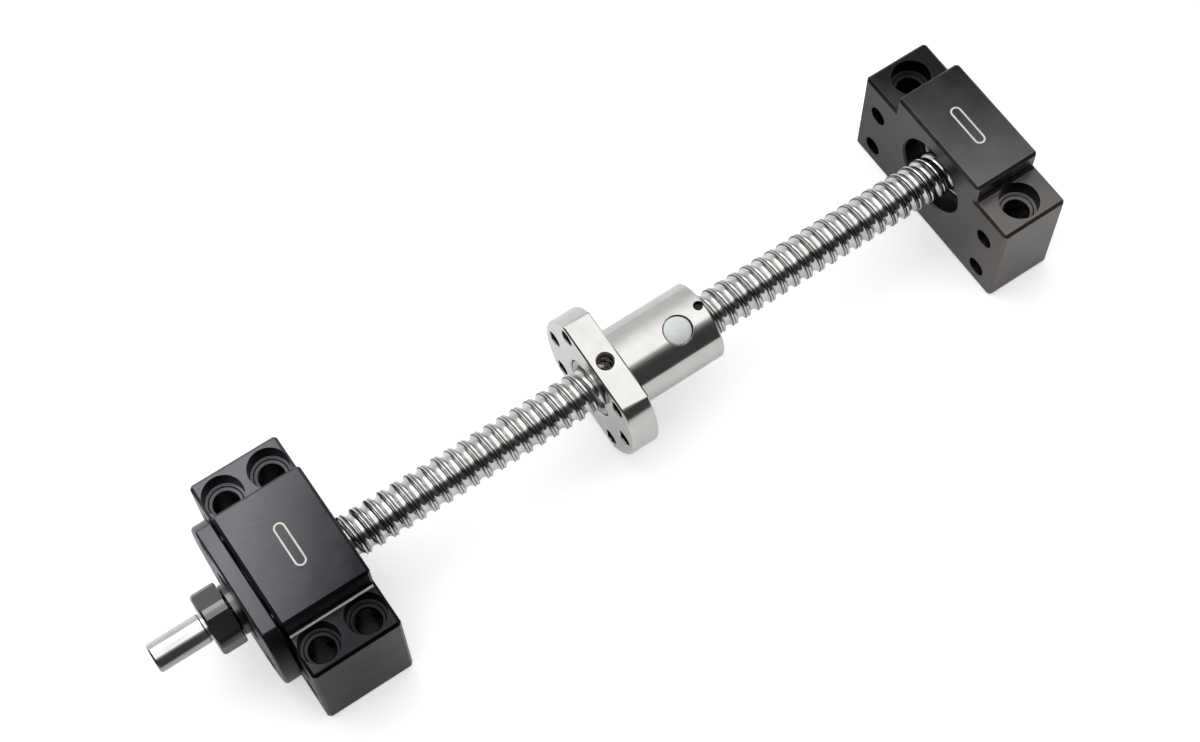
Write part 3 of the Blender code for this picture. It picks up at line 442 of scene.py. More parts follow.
def bright_steel(name, dark, pale, roughness, scale, depth, turned=True, painted_shade_reach=0.0, shade_lined=False):
    """Machined steel: fine tool lines, around the screw if turned, with soft smudges in its polish."""
    made, shader = new_material(name)
    shader.inputs["Metallic"].default_value = 1.0
    place = turned_place(made, *scale) if turned else stretched(made, scale)
    lines = noise(made, place, 1, 3, 0.7)
    smudges = noise(made, object_place(made), 160, 3)
    colour = blended(made, remapped(made, smudges, 0, 1, 0.3, 0.7), dark, pale)
    # Painted shade lines along the thread land's seam and the groove's edges
    if shade_lined:
        colour = painted_thread_shade_lines(made, colour)
    # Painted shade inside holes, slots and corners
    if painted_shade_reach:
        colour = painted_recess_shade(made, colour, painted_shade_reach)
    plug(made, colour, shader.inputs["Base Color"])
    line_part, smudge_part = calc(made, "MULTIPLY", lines, 0.6), calc(made, "MULTIPLY", smudges, 0.4)
    matt = remapped(made, calc(made, "ADD", line_part, smudge_part), *roughness, 0.35, 0.65)
    plug(made, matt, shader.inputs["Roughness"])
    bumped(made, shader, lines, depth)
    return made


def moulded(name, dark, pale, roughness, speck, softness=0.0):
    """Moulded plastic or rubber, with a fine matt skin."""
    made, shader = new_material(name)
    skin = noise(made, object_place(made), speck, 3)
    clouds = noise(made, object_place(made), 260, 3)
    colour = blended(made, remapped(made, clouds, 0, 1, 0.3, 0.7), dark, pale)
    plug(made, colour, shader.inputs["Base Color"])
    spread = 0.08
    matt = remapped(made, skin, roughness - spread, roughness + spread, 0.3, 0.7)
    plug(made, matt, shader.inputs["Roughness"])
    shader.inputs["Subsurface Weight"].default_value = softness
    shader.inputs["Subsurface Radius"].default_value = (1.2 * MM, 1.2 * MM, 1.0 * MM)
    bumped(made, shader, skin, 0.006 * MM)
    return made


# The two housings' copies differ in where their painted sheen is pale
FIXED_BLACK = black_oxide(
    "fixed_black_oxide",
    dark=(0.016, 0.016, 0.018),
    pale=(0.088, 0.088, 0.096),
    roughness=(0.30, 0.42),
    middle=FIXED_MIDDLE,
    painted_sheen_slope=(-16.0, 13.0),
)
FLOATING_BLACK = black_oxide(
    "floating_black_oxide",
    dark=(0.014, 0.014, 0.015),
    pale=(0.098, 0.097, 0.098),
    roughness=(0.28, 0.40),
    middle=FLOATING_MIDDLE,
    painted_sheen_slope=(-12.0, -13.0),
    warmth=0.35,
)
HARDWARE_BLACK = black_oxide(
    "hardware_black_oxide",
    dark=(0.085, 0.085, 0.088),
    pale=(0.175, 0.175, 0.18),
    roughness=(0.16, 0.25),
)
# Rolled steel, with painted shade lines on the thread's land
ROLLED_STEEL = bright_steel(
    "rolled_steel",
    dark=(0.50, 0.495, 0.485),
    pale=(0.68, 0.675, 0.66),
    roughness=(0.09, 0.16),
    scale=(9000, 9000, 3),
    depth=0.001 * MM,
    shade_lined=True,
)
TURNED_STEEL = bright_steel(
    "turned_steel",
    dark=(0.54, 0.538, 0.53),
    pale=(0.67, 0.667, 0.66),
    roughness=(0.09, 0.17),
    scale=(14000, 14000, 2),
    depth=0.0008 * MM,
)
# Ground steel, with painted shade in its holes and corners
GROUND_STEEL = bright_steel(
    "ground_steel",
    dark=(0.535, 0.525, 0.505),
    pale=(0.60, 0.589, 0.568),
    roughness=(0.09, 0.15),
    scale=(9000, 9000, 4),
    depth=0.0012 * MM,
    painted_shade_reach=3.5 * MM,
)
BEARING_STEEL = bright_steel(
    "bearing_steel",
    dark=(0.60, 0.60, 0.60),
    pale=(0.74, 0.74, 0.74),
    roughness=(0.12, 0.22),
    scale=(12000, 12000, 2),
    depth=0.0008 * MM,
)
SPRING_STEEL = bright_steel(
    "spring_steel",
    dark=(0.10, 0.10, 0.11),
    pale=(0.20, 0.20, 0.21),
    roughness=(0.30, 0.44),
    scale=(2000, 6000, 6000),
    depth=0.002 * MM,
    turned=False,
)
BRASS = bright_steel(
    "brass",
    dark=(0.62, 0.42, 0.17),
    pale=(0.78, 0.56, 0.26),
    roughness=(0.28, 0.42),
    scale=(5000, 5000, 5000),
    depth=0.002 * MM,
    turned=False,
)
WHITE_PLASTIC = moulded("white_plastic", (0.57, 0.60, 0.59), (0.71, 0.74, 0.725), 0.28, 3000, 0.3)
BLACK_RUBBER = moulded("black_rubber", (0.018, 0.018, 0.019), (0.034, 0.034, 0.035), 0.62, 4500)
MARK_FILL = moulded("engraved_fill", (0.56, 0.53, 0.46), (0.74, 0.72, 0.66), 0.50, 5000)
# Pale colour of a painted highlight in an inside corner
PAINTED_CORNER_HIGHLIGHT = moulded("painted_corner_highlight", (0.45, 0.45, 0.46), (0.80, 0.80, 0.81), 0.40, 900)


# Supports


def bolt_hole(name, x, y):
    """A mounting hole: a counterbore with a stepped floor, and a small lead-in to the drilled hole."""
    hole, wide = BOLT_RADIUS, COUNTERBORE_RADIUS
    seat, top = SHOULDER_HEIGHT - COUNTERBORE_DEPTH, SHOULDER_HEIGHT + PAST
    outline = [
        (-PAST, hole),
        (seat - 0.75 * MM, hole),
        (seat - 0.45 * MM, hole + 0.3 * MM),
        (seat - 0.4 * MM, wide - MM),
        (seat, wide - 0.85 * MM),
        (seat, wide),
        (top, wide),
    ]
    return revolve(name, solid(outline), Matrix.Translation((x, y, 0)), 72)


def slot_outline(length, width):
    """A bar with round ends, along Y, centred on the screw's plane."""
    reach, steps, points = (length - width) / 2, 16, []
    for side in (1, -1):
        for step in range(steps + 1):
            angle = math.pi * step / steps
            x, y = width / 2 * math.cos(angle) * side, side * (reach + width / 2 * math.sin(angle))
            points.append((x, y))
    return points


def mark(name, x, start, end):
    """A ring shaped like a bar with round ends, from one height to another."""
    length, width, stroke = 13 * MM, 3.2 * MM, 0.5 * MM
    outer = upright(name, slot_outline(length, width), x, start, end)
    hollow = slot_outline(length - 2 * stroke, width - 2 * stroke)
    inner = upright(name + "_inside", hollow, x, start - MM, end + MM)
    return shaped(outer, cut=[inner])


def housing(node_name, bolt_places, bore_outline, material):
    """A stepped block on a foot, with its holes, its bearing bore and an engraved bar on its top."""
    low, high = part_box(node_name)
    front, back, top = low.x, high.x, high.z
    right = [(high.y, 0), (high.y, SHOULDER_HEIGHT), (BLOCK_HALF, SHOULDER_HEIGHT), (BLOCK_HALF, top)]
    left = [(-y, z) for y, z in reversed(right)]
    block = prism(f"{node_name}_block", right + left, front, back, CHAMFER)
    tools = [revolve("bore", solid(bore_outline), ALONG_X, FINEST)]
    for side in (-1, 1):
        y = side * BOLT_PLACE
        tools += [bolt_hole(f"bolt_{side}_{x:.3f}", x, y) for x in bolt_places]
        for z in FACE_HOLE_HEIGHTS:
            ends = (front - PAST, back + PAST)
            hole = rod(f"face_{side}_{z:.3f}", FACE_HOLE_RADIUS, *ends, along_x(y, z), COARSE)
            tools.append(hole)
    middle = (front + back) / 2
    tools.append(mark("mark_groove", middle, top - 0.18 * MM, top + MM))
    shaped(block, cut=tools, edge=0.14 * MM)
    piece(block, "supports", "black_housing", material, node_name)
    fill = mark(f"{node_name}_mark", middle, top - 0.2 * MM, top - 0.06 * MM)
    piece(fill, "supports", "white_plastic", MARK_FILL)


def fixed_support():
    seat, shoulder = 13.3 * MM, FIXED_BACK - 6.7 * MM
    seal_seat = FIXED_BACK - 3.7 * MM
    outline = [
        (FIXED_FRONT - PAST, seat),
        (shoulder, seat),
        (shoulder, THROAT_RADIUS),
        (seal_seat, THROAT_RADIUS),
        (seal_seat, SEAL_SEAT_RADIUS),
        (FIXED_BACK + PAST, SEAL_SEAT_RADIUS),
    ]
    rows = (FIXED_FRONT + 6 * MM, FIXED_FRONT + 19 * MM)
    housing("fixed_housing", rows, outline, FIXED_BLACK)
    # A pale strip in the foot's inner corner along one side of the block: a painted highlight
    corner = [
        (-BLOCK_HALF - 1.3 * MM, SHOULDER_HEIGHT),
        (-BLOCK_HALF - 0.9 * MM, SHOULDER_HEIGHT + 0.4 * MM),
        (-BLOCK_HALF - 0.6 * MM, SHOULDER_HEIGHT),
    ]
    highlight_line = smooth(prism("painted_highlight_line", corner, FIXED_FRONT + CHAMFER, FIXED_BACK - CHAMFER))
    piece(highlight_line, "supports", "black_housing", PAINTED_CORNER_HIGHLIGHT)


def floating_support():
    seat, lip, lead_in = 11.3 * MM, 9.3 * MM, 2.5 * MM
    lip_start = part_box("floating_bearing_outer_race")[1].x + 0.3 * MM
    outline = [
        (FLOATING_FRONT - PAST, seat + lead_in),
        (FLOATING_FRONT + 0.5 * MM, seat),
        (lip_start, seat),
        (lip_start, lip),
        (FLOATING_BACK + PAST, lip),
    ]
    housing("floating_housing", [FLOATING_MIDDLE], outline, FLOATING_BLACK)


LID_SCREW_ANGLES = [math.radians(angle) for angle in (45, 135, 225, 315)]


def lid():
    """The round cover of the fixed support, flat at its top and its foot, with four counterbored holes."""
    low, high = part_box("fixed_lid")
    flats = (low.z, high.z)
    back = FIXED_FRONT - 0.3 * MM
    steps = 220
    circle = [around(LID_RADIUS, TAU * step / steps) for step in range(steps)]
    clipped = [(y, min(max(z, low.z), high.z)) for y, z in circle]
    outline = []
    for index, (y, z) in enumerate(clipped):
        before, after = clipped[index - 1][1], clipped[(index + 1) % steps][1]
        if not (z in flats and before == z == after):
            outline.append((y, z))
    cover = prism("lid_cover", outline, LID_FRONT, back, 0.5 * MM)
    spigot = rod("spigot", 12.85 * MM, back - MM, high.x, ALONG_X, FINEST)
    seal_end = LID_FRONT + 4.1 * MM
    bore = [
        (LID_FRONT - PAST, SEAL_SEAT_RADIUS),
        (seal_end, SEAL_SEAT_RADIUS),
        (seal_end, THROAT_RADIUS),
        (high.x + PAST, THROAT_RADIUS),
    ]
    tools = [revolve("lid_bore", solid(bore), ALONG_X, FINEST)]
    head_seat, head_hole, shank_hole = LID_FRONT + 3.6 * MM, 3.05 * MM, 1.8 * MM
    hole = [
        (LID_FRONT - MM, head_hole),
        (head_seat, head_hole),
        (head_seat, shank_hole),
        (high.x + MM, shank_hole),
    ]
    for number, angle in enumerate(LID_SCREW_ANGLES):
        place = along_x(*around(LID_SCREW_CIRCLE, angle))
        tools.append(revolve(f"lid_hole_{number}", solid(hole), place, COARSE))
    shaped(cover, joined=[spigot], cut=tools, edge=0.12 * MM)
    piece(cover, "supports", "black_housing", FIXED_BLACK, "fixed_lid")


def hexagon(across):
    """The corners of a hexagon with that distance between its flats."""
    corner = across / 2 / math.cos(math.pi / 6)
    angles = [math.radians(30 + 60 * side) for side in range(6)]
    return [(corner * math.cos(angle), corner * math.sin(angle)) for angle in angles]


def lid_screw(number, angle):
    """A socket head screw with a rounded head, a hexagon socket and a chamfered shank."""
    place = along_x(*around(LID_SCREW_CIRCLE, angle))
    head, shank, chamfer = 2.75 * MM, 1.5 * MM, 0.4 * MM
    top = LID_FRONT + 0.3 * MM
    head_height, length = 3 * MM, 9 * MM
    under, tip = top + head_height, top + head_height + length
    outline = [
        (top, head - 0.3 * MM),
        (top + 0.3 * MM, head),
        (under - 0.1 * MM, head),
        (under, head - 0.1 * MM),
        (under, shank),
        (tip - chamfer, shank),
        (tip, shank - chamfer),
    ]
    screw = revolve(f"lid_cap_screw_{number}", solid(outline), place, 48)
    socket = upright("socket", hexagon(2.5 * MM), 0, top - MM, top + head_height / 2)
    socket.data.transform(place)
    shaped(screw, cut=[socket], edge=0.05 * MM)
    piece(screw, "supports", "black_hardware", HARDWARE_BLACK, f"lid_screw_{number}")


def seal(name, node_name):
    """A rubber ring with a stepped face on both sides and a lip that runs on its collar."""
    low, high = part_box(node_name)
    inner, outer = 7.3 * MM, 9.5 * MM
    step, lip, sunk = inner + 0.9 * MM, inner + 0.3 * MM, inner + 0.6 * MM
    outline = [
        (low.x, outer),
        (high.x, outer),
        (high.x, step),
        (high.x - 0.5 * MM, sunk),
        (high.x, lip),
        (high.x - 0.2 * MM, inner),
        (low.x + 0.2 * MM, inner),
        (low.x, lip),
        (low.x + 0.5 * MM, sunk),
        (low.x, step),
    ]
    ring = smooth(revolve(name, eased(outline, 0.12 * MM, 2)))
    piece(ring, "supports", "black_rubber", BLACK_RUBBER, node_name)


# Bearings


def race(name, node_name, body, circle, ball, plain_side, shielded=False):
    """A bearing ring with its ball groove and rounded corners. Its plain side is outside or inside."""
    low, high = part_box(node_name)
    outer = plain_side > circle
    middle, groove = (low.x + high.x) / 2, ball + 0.15 * MM
    side = 1 if outer else -1
    land = circle + side * 0.75 * ball
    reach, half_steps = math.acos(abs(circle - land) / groove), 6
    track = []
    for step in range(2 * half_steps + 1):
        angle = reach * (step / half_steps - 1)
        x, radius = middle - side * groove * math.sin(angle), circle + side * groove * math.cos(angle)
        track.append((x, radius))
    if outer:
        rim, depth = (land + 0.8 * MM, MM) if shielded else (land, 0.0)
        outline = [(low.x, plain_side), (high.x, plain_side), (high.x, rim)]
        outline += [(high.x - depth, rim), (high.x - depth, land)] * shielded
        outline += track
        outline += [(low.x + depth, land), (low.x + depth, rim)] * shielded
        outline.append((low.x, rim))
    else:
        outline = [(low.x, land), *track, (high.x, land), (high.x, plain_side), (low.x, plain_side)]
    ring = smooth(revolve(name, eased(outline, 0.2 * MM, 3), ALONG_X, FINE))
    piece(ring, body, "bearing_steel", BEARING_STEEL, node_name)


def ball_set(name, node_name, body, circle, ball, count):
    """Round balls in a pressed ribbon cage."""
    low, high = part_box(node_name)
    middle = (low.x + high.x) / 2
    bm = bmesh.new()
    for number in range(count):
        place = Matrix.Translation((middle, *around(circle, TAU * number / count)))
        bmesh.ops.create_uvsphere(bm, u_segments=24, v_segments=14, radius=ball, matrix=place)
    per_ball, thick = 14, 0.2 * MM
    width = 0.55 * ball * 0.9
    steps, rings = per_ball * count, []
    for step in range(steps):
        angle = TAU * step / steps
        phase = (step % per_ball) / per_ball
        from_ball = min(phase, 1 - phase) * TAU / count * circle
        swell = math.sqrt(max((ball + thick) ** 2 - from_ball**2, 0))
        half = max(swell * 0.8, thick)
        ring = []
        for dx, dr in ((-half, -width), (half, -width), (half, width), (-half, width)):
            ring.append(bm.verts.new((middle + dx, *around(circle + dr, angle))))
        rings.append(ring)
    for first, second in zip(rings, rings[1:] + rings[:1]):
        for corner in range(4):
            after = (corner + 1) % 4
            bm.faces.new([first[corner], first[after], second[after], second[corner]])
    bmesh.ops.recalc_face_normals(bm, faces=bm.faces)
    balls = smooth(linked(name, bm))
    piece(balls, body, "bearing_steel", BEARING_STEEL, node_name)


def shield(name, node_name):
    """A pressed dust shield with a rolled outer bead and a turned-in lip."""
    low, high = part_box(node_name)
    front = node_name.endswith("front_shield")
    face, back = (low.x, high.x) if front else (high.x, low.x)
    lip = 0.15 * MM if front else -0.15 * MM
    inner, outer = 6.3 * MM, high.y
    outline = [
        (back, outer),
        (face + lip, outer),
        (face, outer - 0.35 * MM),
        (face + lip, outer - 0.7 * MM),
        (face + lip, inner + 0.7 * MM),
        (face, inner + 0.3 * MM),
        (face, inner),
        (back, inner),
    ]
    ring = smooth(revolve(name, eased(outline, 0.08 * MM, 2), ALONG_X, FINE))
    piece(ring, "supports", "bearing_steel", BEARING_STEEL, node_name)


def bearings():
    circle, ball, outside = 9 * MM, 2.381 * MM, 13 * MM
    for letter in ("a", "b"):
        prefix = f"fixed_bearing_{letter}"
        race(f"{prefix}_outer_ring", f"{prefix}_outer_race", "supports", circle, ball, outside)
        race(f"{prefix}_inner_ring", f"{prefix}_inner_race", "screw", circle, ball, JOURNAL_BORE)
        ball_set(f"{prefix}_ball_set", f"{prefix}_balls", f"fixed_cage_{letter}", circle, ball, 10)
    prefix = "floating_bearing"
    circle, ball, outside, bore = 7.5 * MM, 1.9845 * MM, 11 * MM, 4.3 * MM
    race(f"{prefix}_outer_ring", f"{prefix}_outer_race", "supports", circle, ball, outside, shielded=True)
    race(f"{prefix}_inner_ring", f"{prefix}_inner_race", "screw", circle, ball, bore)
    ball_set(f"{prefix}_ball_set", f"{prefix}_balls", "floating_cage", circle, ball, 7)
    for end in ("front", "back"):
        shield(f"{prefix}_{end}_cover", f"{prefix}_{end}_shield")


# Screw


def ball_thread_profile():
    """One lead of the profile as (x, radius) points: a pointed-arch groove and a land with soft lips."""
    edge_radius = SCREW_RADIUS - 0.07 * MM
    reach, half_steps = math.acos((BALL_CIRCLE - edge_radius) / GROOVE_RADIUS), 7
    points = []
    for step in range(-half_steps, half_steps + 1):
        angle = reach * step / half_steps
        x = GROOVE_RADIUS * math.sin(angle) + GROOVE_OFFSET * ((step > 0) - (step < 0))
        points.append((x, BALL_CIRCLE - GROOVE_RADIUS * math.cos(angle)))
    edge = points[-1][0]
    lip = [
        (edge + 0.04 * MM, SCREW_RADIUS - 0.02 * MM),
        (edge + 0.12 * MM, SCREW_RADIUS),
        (edge + 0.38 * MM, SCREW_RADIUS - 0.01 * MM),
        (edge + 0.52 * MM, SCREW_RADIUS - LAND_HOLLOW),
        (edge + 0.66 * MM, SCREW_RADIUS - LAND_HOLLOW - 0.03 * MM),
    ]
    return points + lip + [(LEAD - x, radius) for x, radius in reversed(lip)]


def helical(name, profile, lead, start, end, groove_place, steps):
    """A threaded bar between two planes: the profile repeats every lead and climbs as it turns."""
    first, repeats = start - 2 * lead, math.ceil((end - start) / lead) + 5
    heights = [(first + lead * turn + x, radius) for turn in range(repeats) for x, radius in profile]
    wrapped = [*profile, (profile[0][0] + lead, profile[0][1])]

    def radius_at(x, shift):
        """The profile's radius at x, in a column that is shifted so far."""
        phase = (x - (first + shift)) % lead
        if phase > wrapped[-1][0]:
            phase -= lead
        for (x1, r1), (x2, r2) in zip(wrapped, wrapped[1:]):
            if x1 <= phase <= x2:
                return r1 + (r2 - r1) * (phase - x1) / (x2 - x1)

    bm = bmesh.new()
    columns = []
    for step in range(steps):
        angle = TAU * step / steps
        shift = (groove_place + lead * angle / TAU - first) % lead
        start_radius, end_radius = radius_at(start, shift), radius_at(end, shift)
        column = []
        for x, radius in heights:
            place = x + shift
            if place <= start:
                place, radius = start, start_radius
            elif place >= end:
                place, radius = end, end_radius
            column.append(bm.verts.new((place, *around(radius, angle))))
        columns.append((shift, column))
    for index, (shift, column) in enumerate(columns):
        after_shift, after = columns[(index + 1) % steps]
        hop = len(profile) if after_shift < shift - lead / 2 else 0
        for row in range(hop, len(column) - 1 - hop):
            bm.faces.new([column[row], column[row + 1], after[row + 1 + hop], after[row + hop]])
    bmesh.ops.remove_doubles(bm, verts=bm.verts, dist=0.001 * MM)
    bmesh.ops.dissolve_degenerate(bm, dist=0.0005 * MM, edges=bm.edges)
    for place in (start, end):
        open_edges = [edge for edge in bm.edges if edge.is_boundary]
        rim = [edge for edge in open_edges if all(abs(v.co.x - place) < 0.01 * MM for v in edge.verts)]
        grown = bmesh.ops.extrude_edge_only(bm, edges=rim)
        for vert in [item for item in grown["geom"] if isinstance(item, bmesh.types.BMVert)]:
            out = Vector((vert.co.y, vert.co.z - AXIS_HEIGHT)).normalized() * HIDDEN_CORE
            vert.co.y, vert.co.z = out.x, AXIS_HEIGHT + out.y
    bmesh.ops.holes_fill(bm, edges=[edge for edge in bm.edges if edge.is_boundary], sides=0)
    bmesh.ops.recalc_face_normals(bm, faces=bm.faces)
    return linked(name, bm)


def screw_thread():
    profile = ball_thread_profile()
    thread = helical("ball_thread", profile, LEAD, THREAD_START, THREAD_END, GROOVE_PLACE, 72)
    piece(smooth(thread, 60), "screw", "rolled_steel", ROLLED_STEEL, "screw_shaft")


def drive_journal(thread_start, lock_start, lock_end, chamfer):
    """The screw's driven end, with its centre hole, its relief and the core of the lock thread."""
    core = LOCK_THREAD_RADIUS - LOCK_THREAD_DEPTH - 0.05 * MM
    shoulder = LOCK_THREAD_RADIUS - 0.02 * MM
    relief = DRIVE_RADIUS - 0.2 * MM
    outline = [
        (DRIVE_TIP + 2.4 * MM, 0),
        (DRIVE_TIP + 1.1 * MM, 0.65 * MM),
        (DRIVE_TIP, 1.5 * MM),
        (DRIVE_TIP, DRIVE_RADIUS - chamfer),
        (DRIVE_TIP + chamfer, DRIVE_RADIUS),
        (lock_start - 0.9 * MM, DRIVE_RADIUS),
        (lock_start - 0.7 * MM, relief),
        (lock_start, relief),
        (lock_start, LOCK_THREAD_RADIUS - 0.6 * MM),
        (thread_start - 0.1 * MM, LOCK_THREAD_RADIUS),
        (thread_start, LOCK_THREAD_RADIUS),
        (thread_start, core),
        (lock_end, core),
        (lock_end, shoulder),
        (THREAD_START + 0.02 * MM, shoulder),
        (THREAD_START + 0.02 * MM, 0),
    ]
    drive = smooth(revolve("drive_journal", eased(outline, 0.1 * MM, 3), ALONG_X, FINE))
    piece(drive, "screw", "rolled_steel", TURNED_STEEL)


def lock_thread(thread_start, lock_start, lock_end):
    pitch, root, crest = LOCK_THREAD_PITCH, LOCK_THREAD_RADIUS - LOCK_THREAD_DEPTH, LOCK_THREAD_RADIUS
    profile = [
        (0.0, root),
        (0.10 * pitch, root),
        (0.44 * pitch, crest - 0.04 * MM),
        (0.50 * pitch, crest),
        (0.60 * pitch, crest),
        (0.66 * pitch, crest - 0.04 * MM),
    ]
    lock = helical("lock_thread", profile, pitch, thread_start, lock_end, lock_start, 48)
    piece(smooth(lock, 60), "screw", "rolled_steel", TURNED_STEEL)


def floating_journal(chamfer):
    """The screw's far end, with its snap ring groove and centre hole."""
    groove = 3.5 * MM
    groove_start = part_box("floating_bearing_outer_race")[1].x + 0.15 * MM
    groove_end = groove_start + 1.1 * MM
    outline = [
        (THREAD_END - 0.02 * MM, 0),
        (THREAD_END - 0.02 * MM, JOURNAL_RADIUS),
        (groove_start, JOURNAL_RADIUS),
        (groove_start, groove),
        (groove_end, groove),
        (groove_end, JOURNAL_RADIUS),
        (SHAFT_END - chamfer, JOURNAL_RADIUS),
        (SHAFT_END, JOURNAL_RADIUS - chamfer),
        (SHAFT_END, 1.4 * MM),
        (SHAFT_END - 1.0 * MM, 0.6 * MM),
        (SHAFT_END - 2.2 * MM, 0),
    ]
    floating = smooth(revolve("floating_journal", eased(outline, 0.08 * MM, 3), ALONG_X, FINE))
    piece(floating, "screw", "rolled_steel", TURNED_STEEL)


def screw_journals():
    """The turned ends of the screw."""
    chamfer = 0.5 * MM
    lock_start = DRIVE_TIP + 15 * MM
    thread_start, lock_end = lock_start + 0.8 * MM, lock_start + 16 * MM
    drive_journal(thread_start, lock_start, lock_end, chamfer)
    lock_thread(thread_start, lock_start, lock_end)
    floating_journal(chamfer)


def collars():
    outside = 7 * MM
    for name, node_name, slot, material in (
        ("outer_spacer", "outer_collar", "black_hardware", HARDWARE_BLACK),
        ("inner_spacer", "inner_collar", "ground_steel", GROUND_STEEL),
    ):
        low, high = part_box(node_name)
        outline = [(low.x, outside), (high.x, outside), (high.x, JOURNAL_BORE), (low.x, JOURNAL_BORE)]
        ring = smooth(revolve(name, eased(outline, 0.3 * MM, 3)))
        piece(ring, "screw", slot, material, node_name)


def lock_nut():
    """A hexagon nut with turned corners, a chamfered bore and a sunk set screw on a brass pad."""
    corner_radius = LOCK_NUT_HALF / math.cos(math.pi / 6)
    angles = [LOCK_NUT_TURN + math.radians(30 + 60 * side) for side in range(6)]
    corners = [around(corner_radius, angle) for angle in angles]
    nut = prism("hexagon_nut", corners, LOCK_NUT_FRONT, LOCK_NUT_END)
    rim, rise, turned = LOCK_NUT_HALF - 0.25 * MM, 0.55 * MM, LOCK_NUT_HALF + 0.5 * MM
    round_off = [
        (LOCK_NUT_FRONT - 0.1 * MM, rim),
        (LOCK_NUT_FRONT + rise, turned),
        (LOCK_NUT_END - 0.3 * MM, turned),
        (LOCK_NUT_END + 0.1 * MM, turned - 0.3 * MM),
    ]
    bore = [
        (LOCK_NUT_FRONT - MM, 6.55 * MM),
        (LOCK_NUT_FRONT + 0.25 * MM, JOURNAL_BORE),
        (LOCK_NUT_END - 0.6 * MM, JOURNAL_BORE),
        (LOCK_NUT_END + MM, 6.9 * MM),
    ]
    place = outwards((LOCK_NUT_FRONT + LOCK_NUT_END) / 2, LOCK_NUT_TURN + math.pi)
    tools = [revolve("nut_bore", solid(bore)), rod("set_hole", 1.8 * MM, MM, 9 * MM, place, 48)]
    turned_shape = revolve("round_off", solid(round_off), ALONG_X, FINEST)
    shaped(nut, kept=[turned_shape], cut=tools, edge=0.12 * MM, angle=25)
    piece(nut, "screw", "black_hardware", HARDWARE_BLACK, "lock_nut")
    lock_nut_screw(place)


def lock_nut_screw(place):
    """The lock nut's set screw and the pad under it, along the place's Z axis."""
    outline = [
        (6.25 * MM, 1.2 * MM),
        (6.55 * MM, 1.5 * MM),
        (7.5 * MM, 1.5 * MM),
        (7.7 * MM, 1.3 * MM),
    ]
    grub = revolve("set_screw", solid(outline), place, 40)
    shaped(grub, cut=[rod("set_socket", 0.85 * MM, 7 * MM, 8 * MM, place, 6)], edge=0.04 * MM)
    piece(grub, "screw", "black_hardware", HARDWARE_BLACK, "lock_screw")
    pad_radius, pad_top = 1.2 * MM, 6.1 * MM
    outline = solid([(JOURNAL_BORE, pad_radius), (pad_top, pad_radius)])
    pad = smooth(revolve("set_pad", eased(outline, 0.15 * MM), place, 40))
    piece(pad, "screw", "brass", BRASS, "lock_pad")


def snap_ring():
    """An open ring with two lugs, each with a hole for the pliers."""
    low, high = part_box("snap_ring")
    inner, outer, lug, lug_hole = 3.65 * MM, 4.9 * MM, 1.1 * MM, 0.5 * MM
    outline = [(low.x, outer), (high.x, outer), (high.x, inner), (low.x, inner)]
    ring = revolve("retaining_ring", outline)
    half_gap = math.radians(22)
    lugs, holes = [], []
    for side in (-1, 1):
        place = along_x(*around(outer + 0.4 * MM, side * (half_gap + lug / outer)))
        lugs.append(rod(f"lug_{side}", lug, low.x, high.x, place, 40))
        holes.append(rod(f"lug_hole_{side}", lug_hole, low.x - MM, high.x + MM, place, 24))
    wedge = [around(0, 0), around(3 * outer, half_gap), around(3 * outer, -half_gap)]
    holes.append(prism("ring_gap", wedge, low.x - MM, high.x + MM))
    shaped(ring, joined=lugs, cut=holes, edge=0.06 * MM)
    piece(ring, "screw", "spring_steel", SPRING_STEEL, "snap_ring")


# Ball nut


def flange_hole(name, angle):
    """A drilled hole through the flange, with a chamfer at both faces."""
    flange_end, wide = NUT_FRONT + FLANGE_THICKNESS, FLANGE_HOLE_RADIUS + 1.2 * MM
    outline = [
        (NUT_FRONT - MM, wide),
        (NUT_FRONT + 0.2 * MM, FLANGE_HOLE_RADIUS),
        (flange_end - 0.2 * MM, FLANGE_HOLE_RADIUS),
        (flange_end + MM, wide),
    ]
    return revolve(name, solid(outline), along_x(*around(FLANGE_HOLE_CIRCLE, angle)), COARSE)


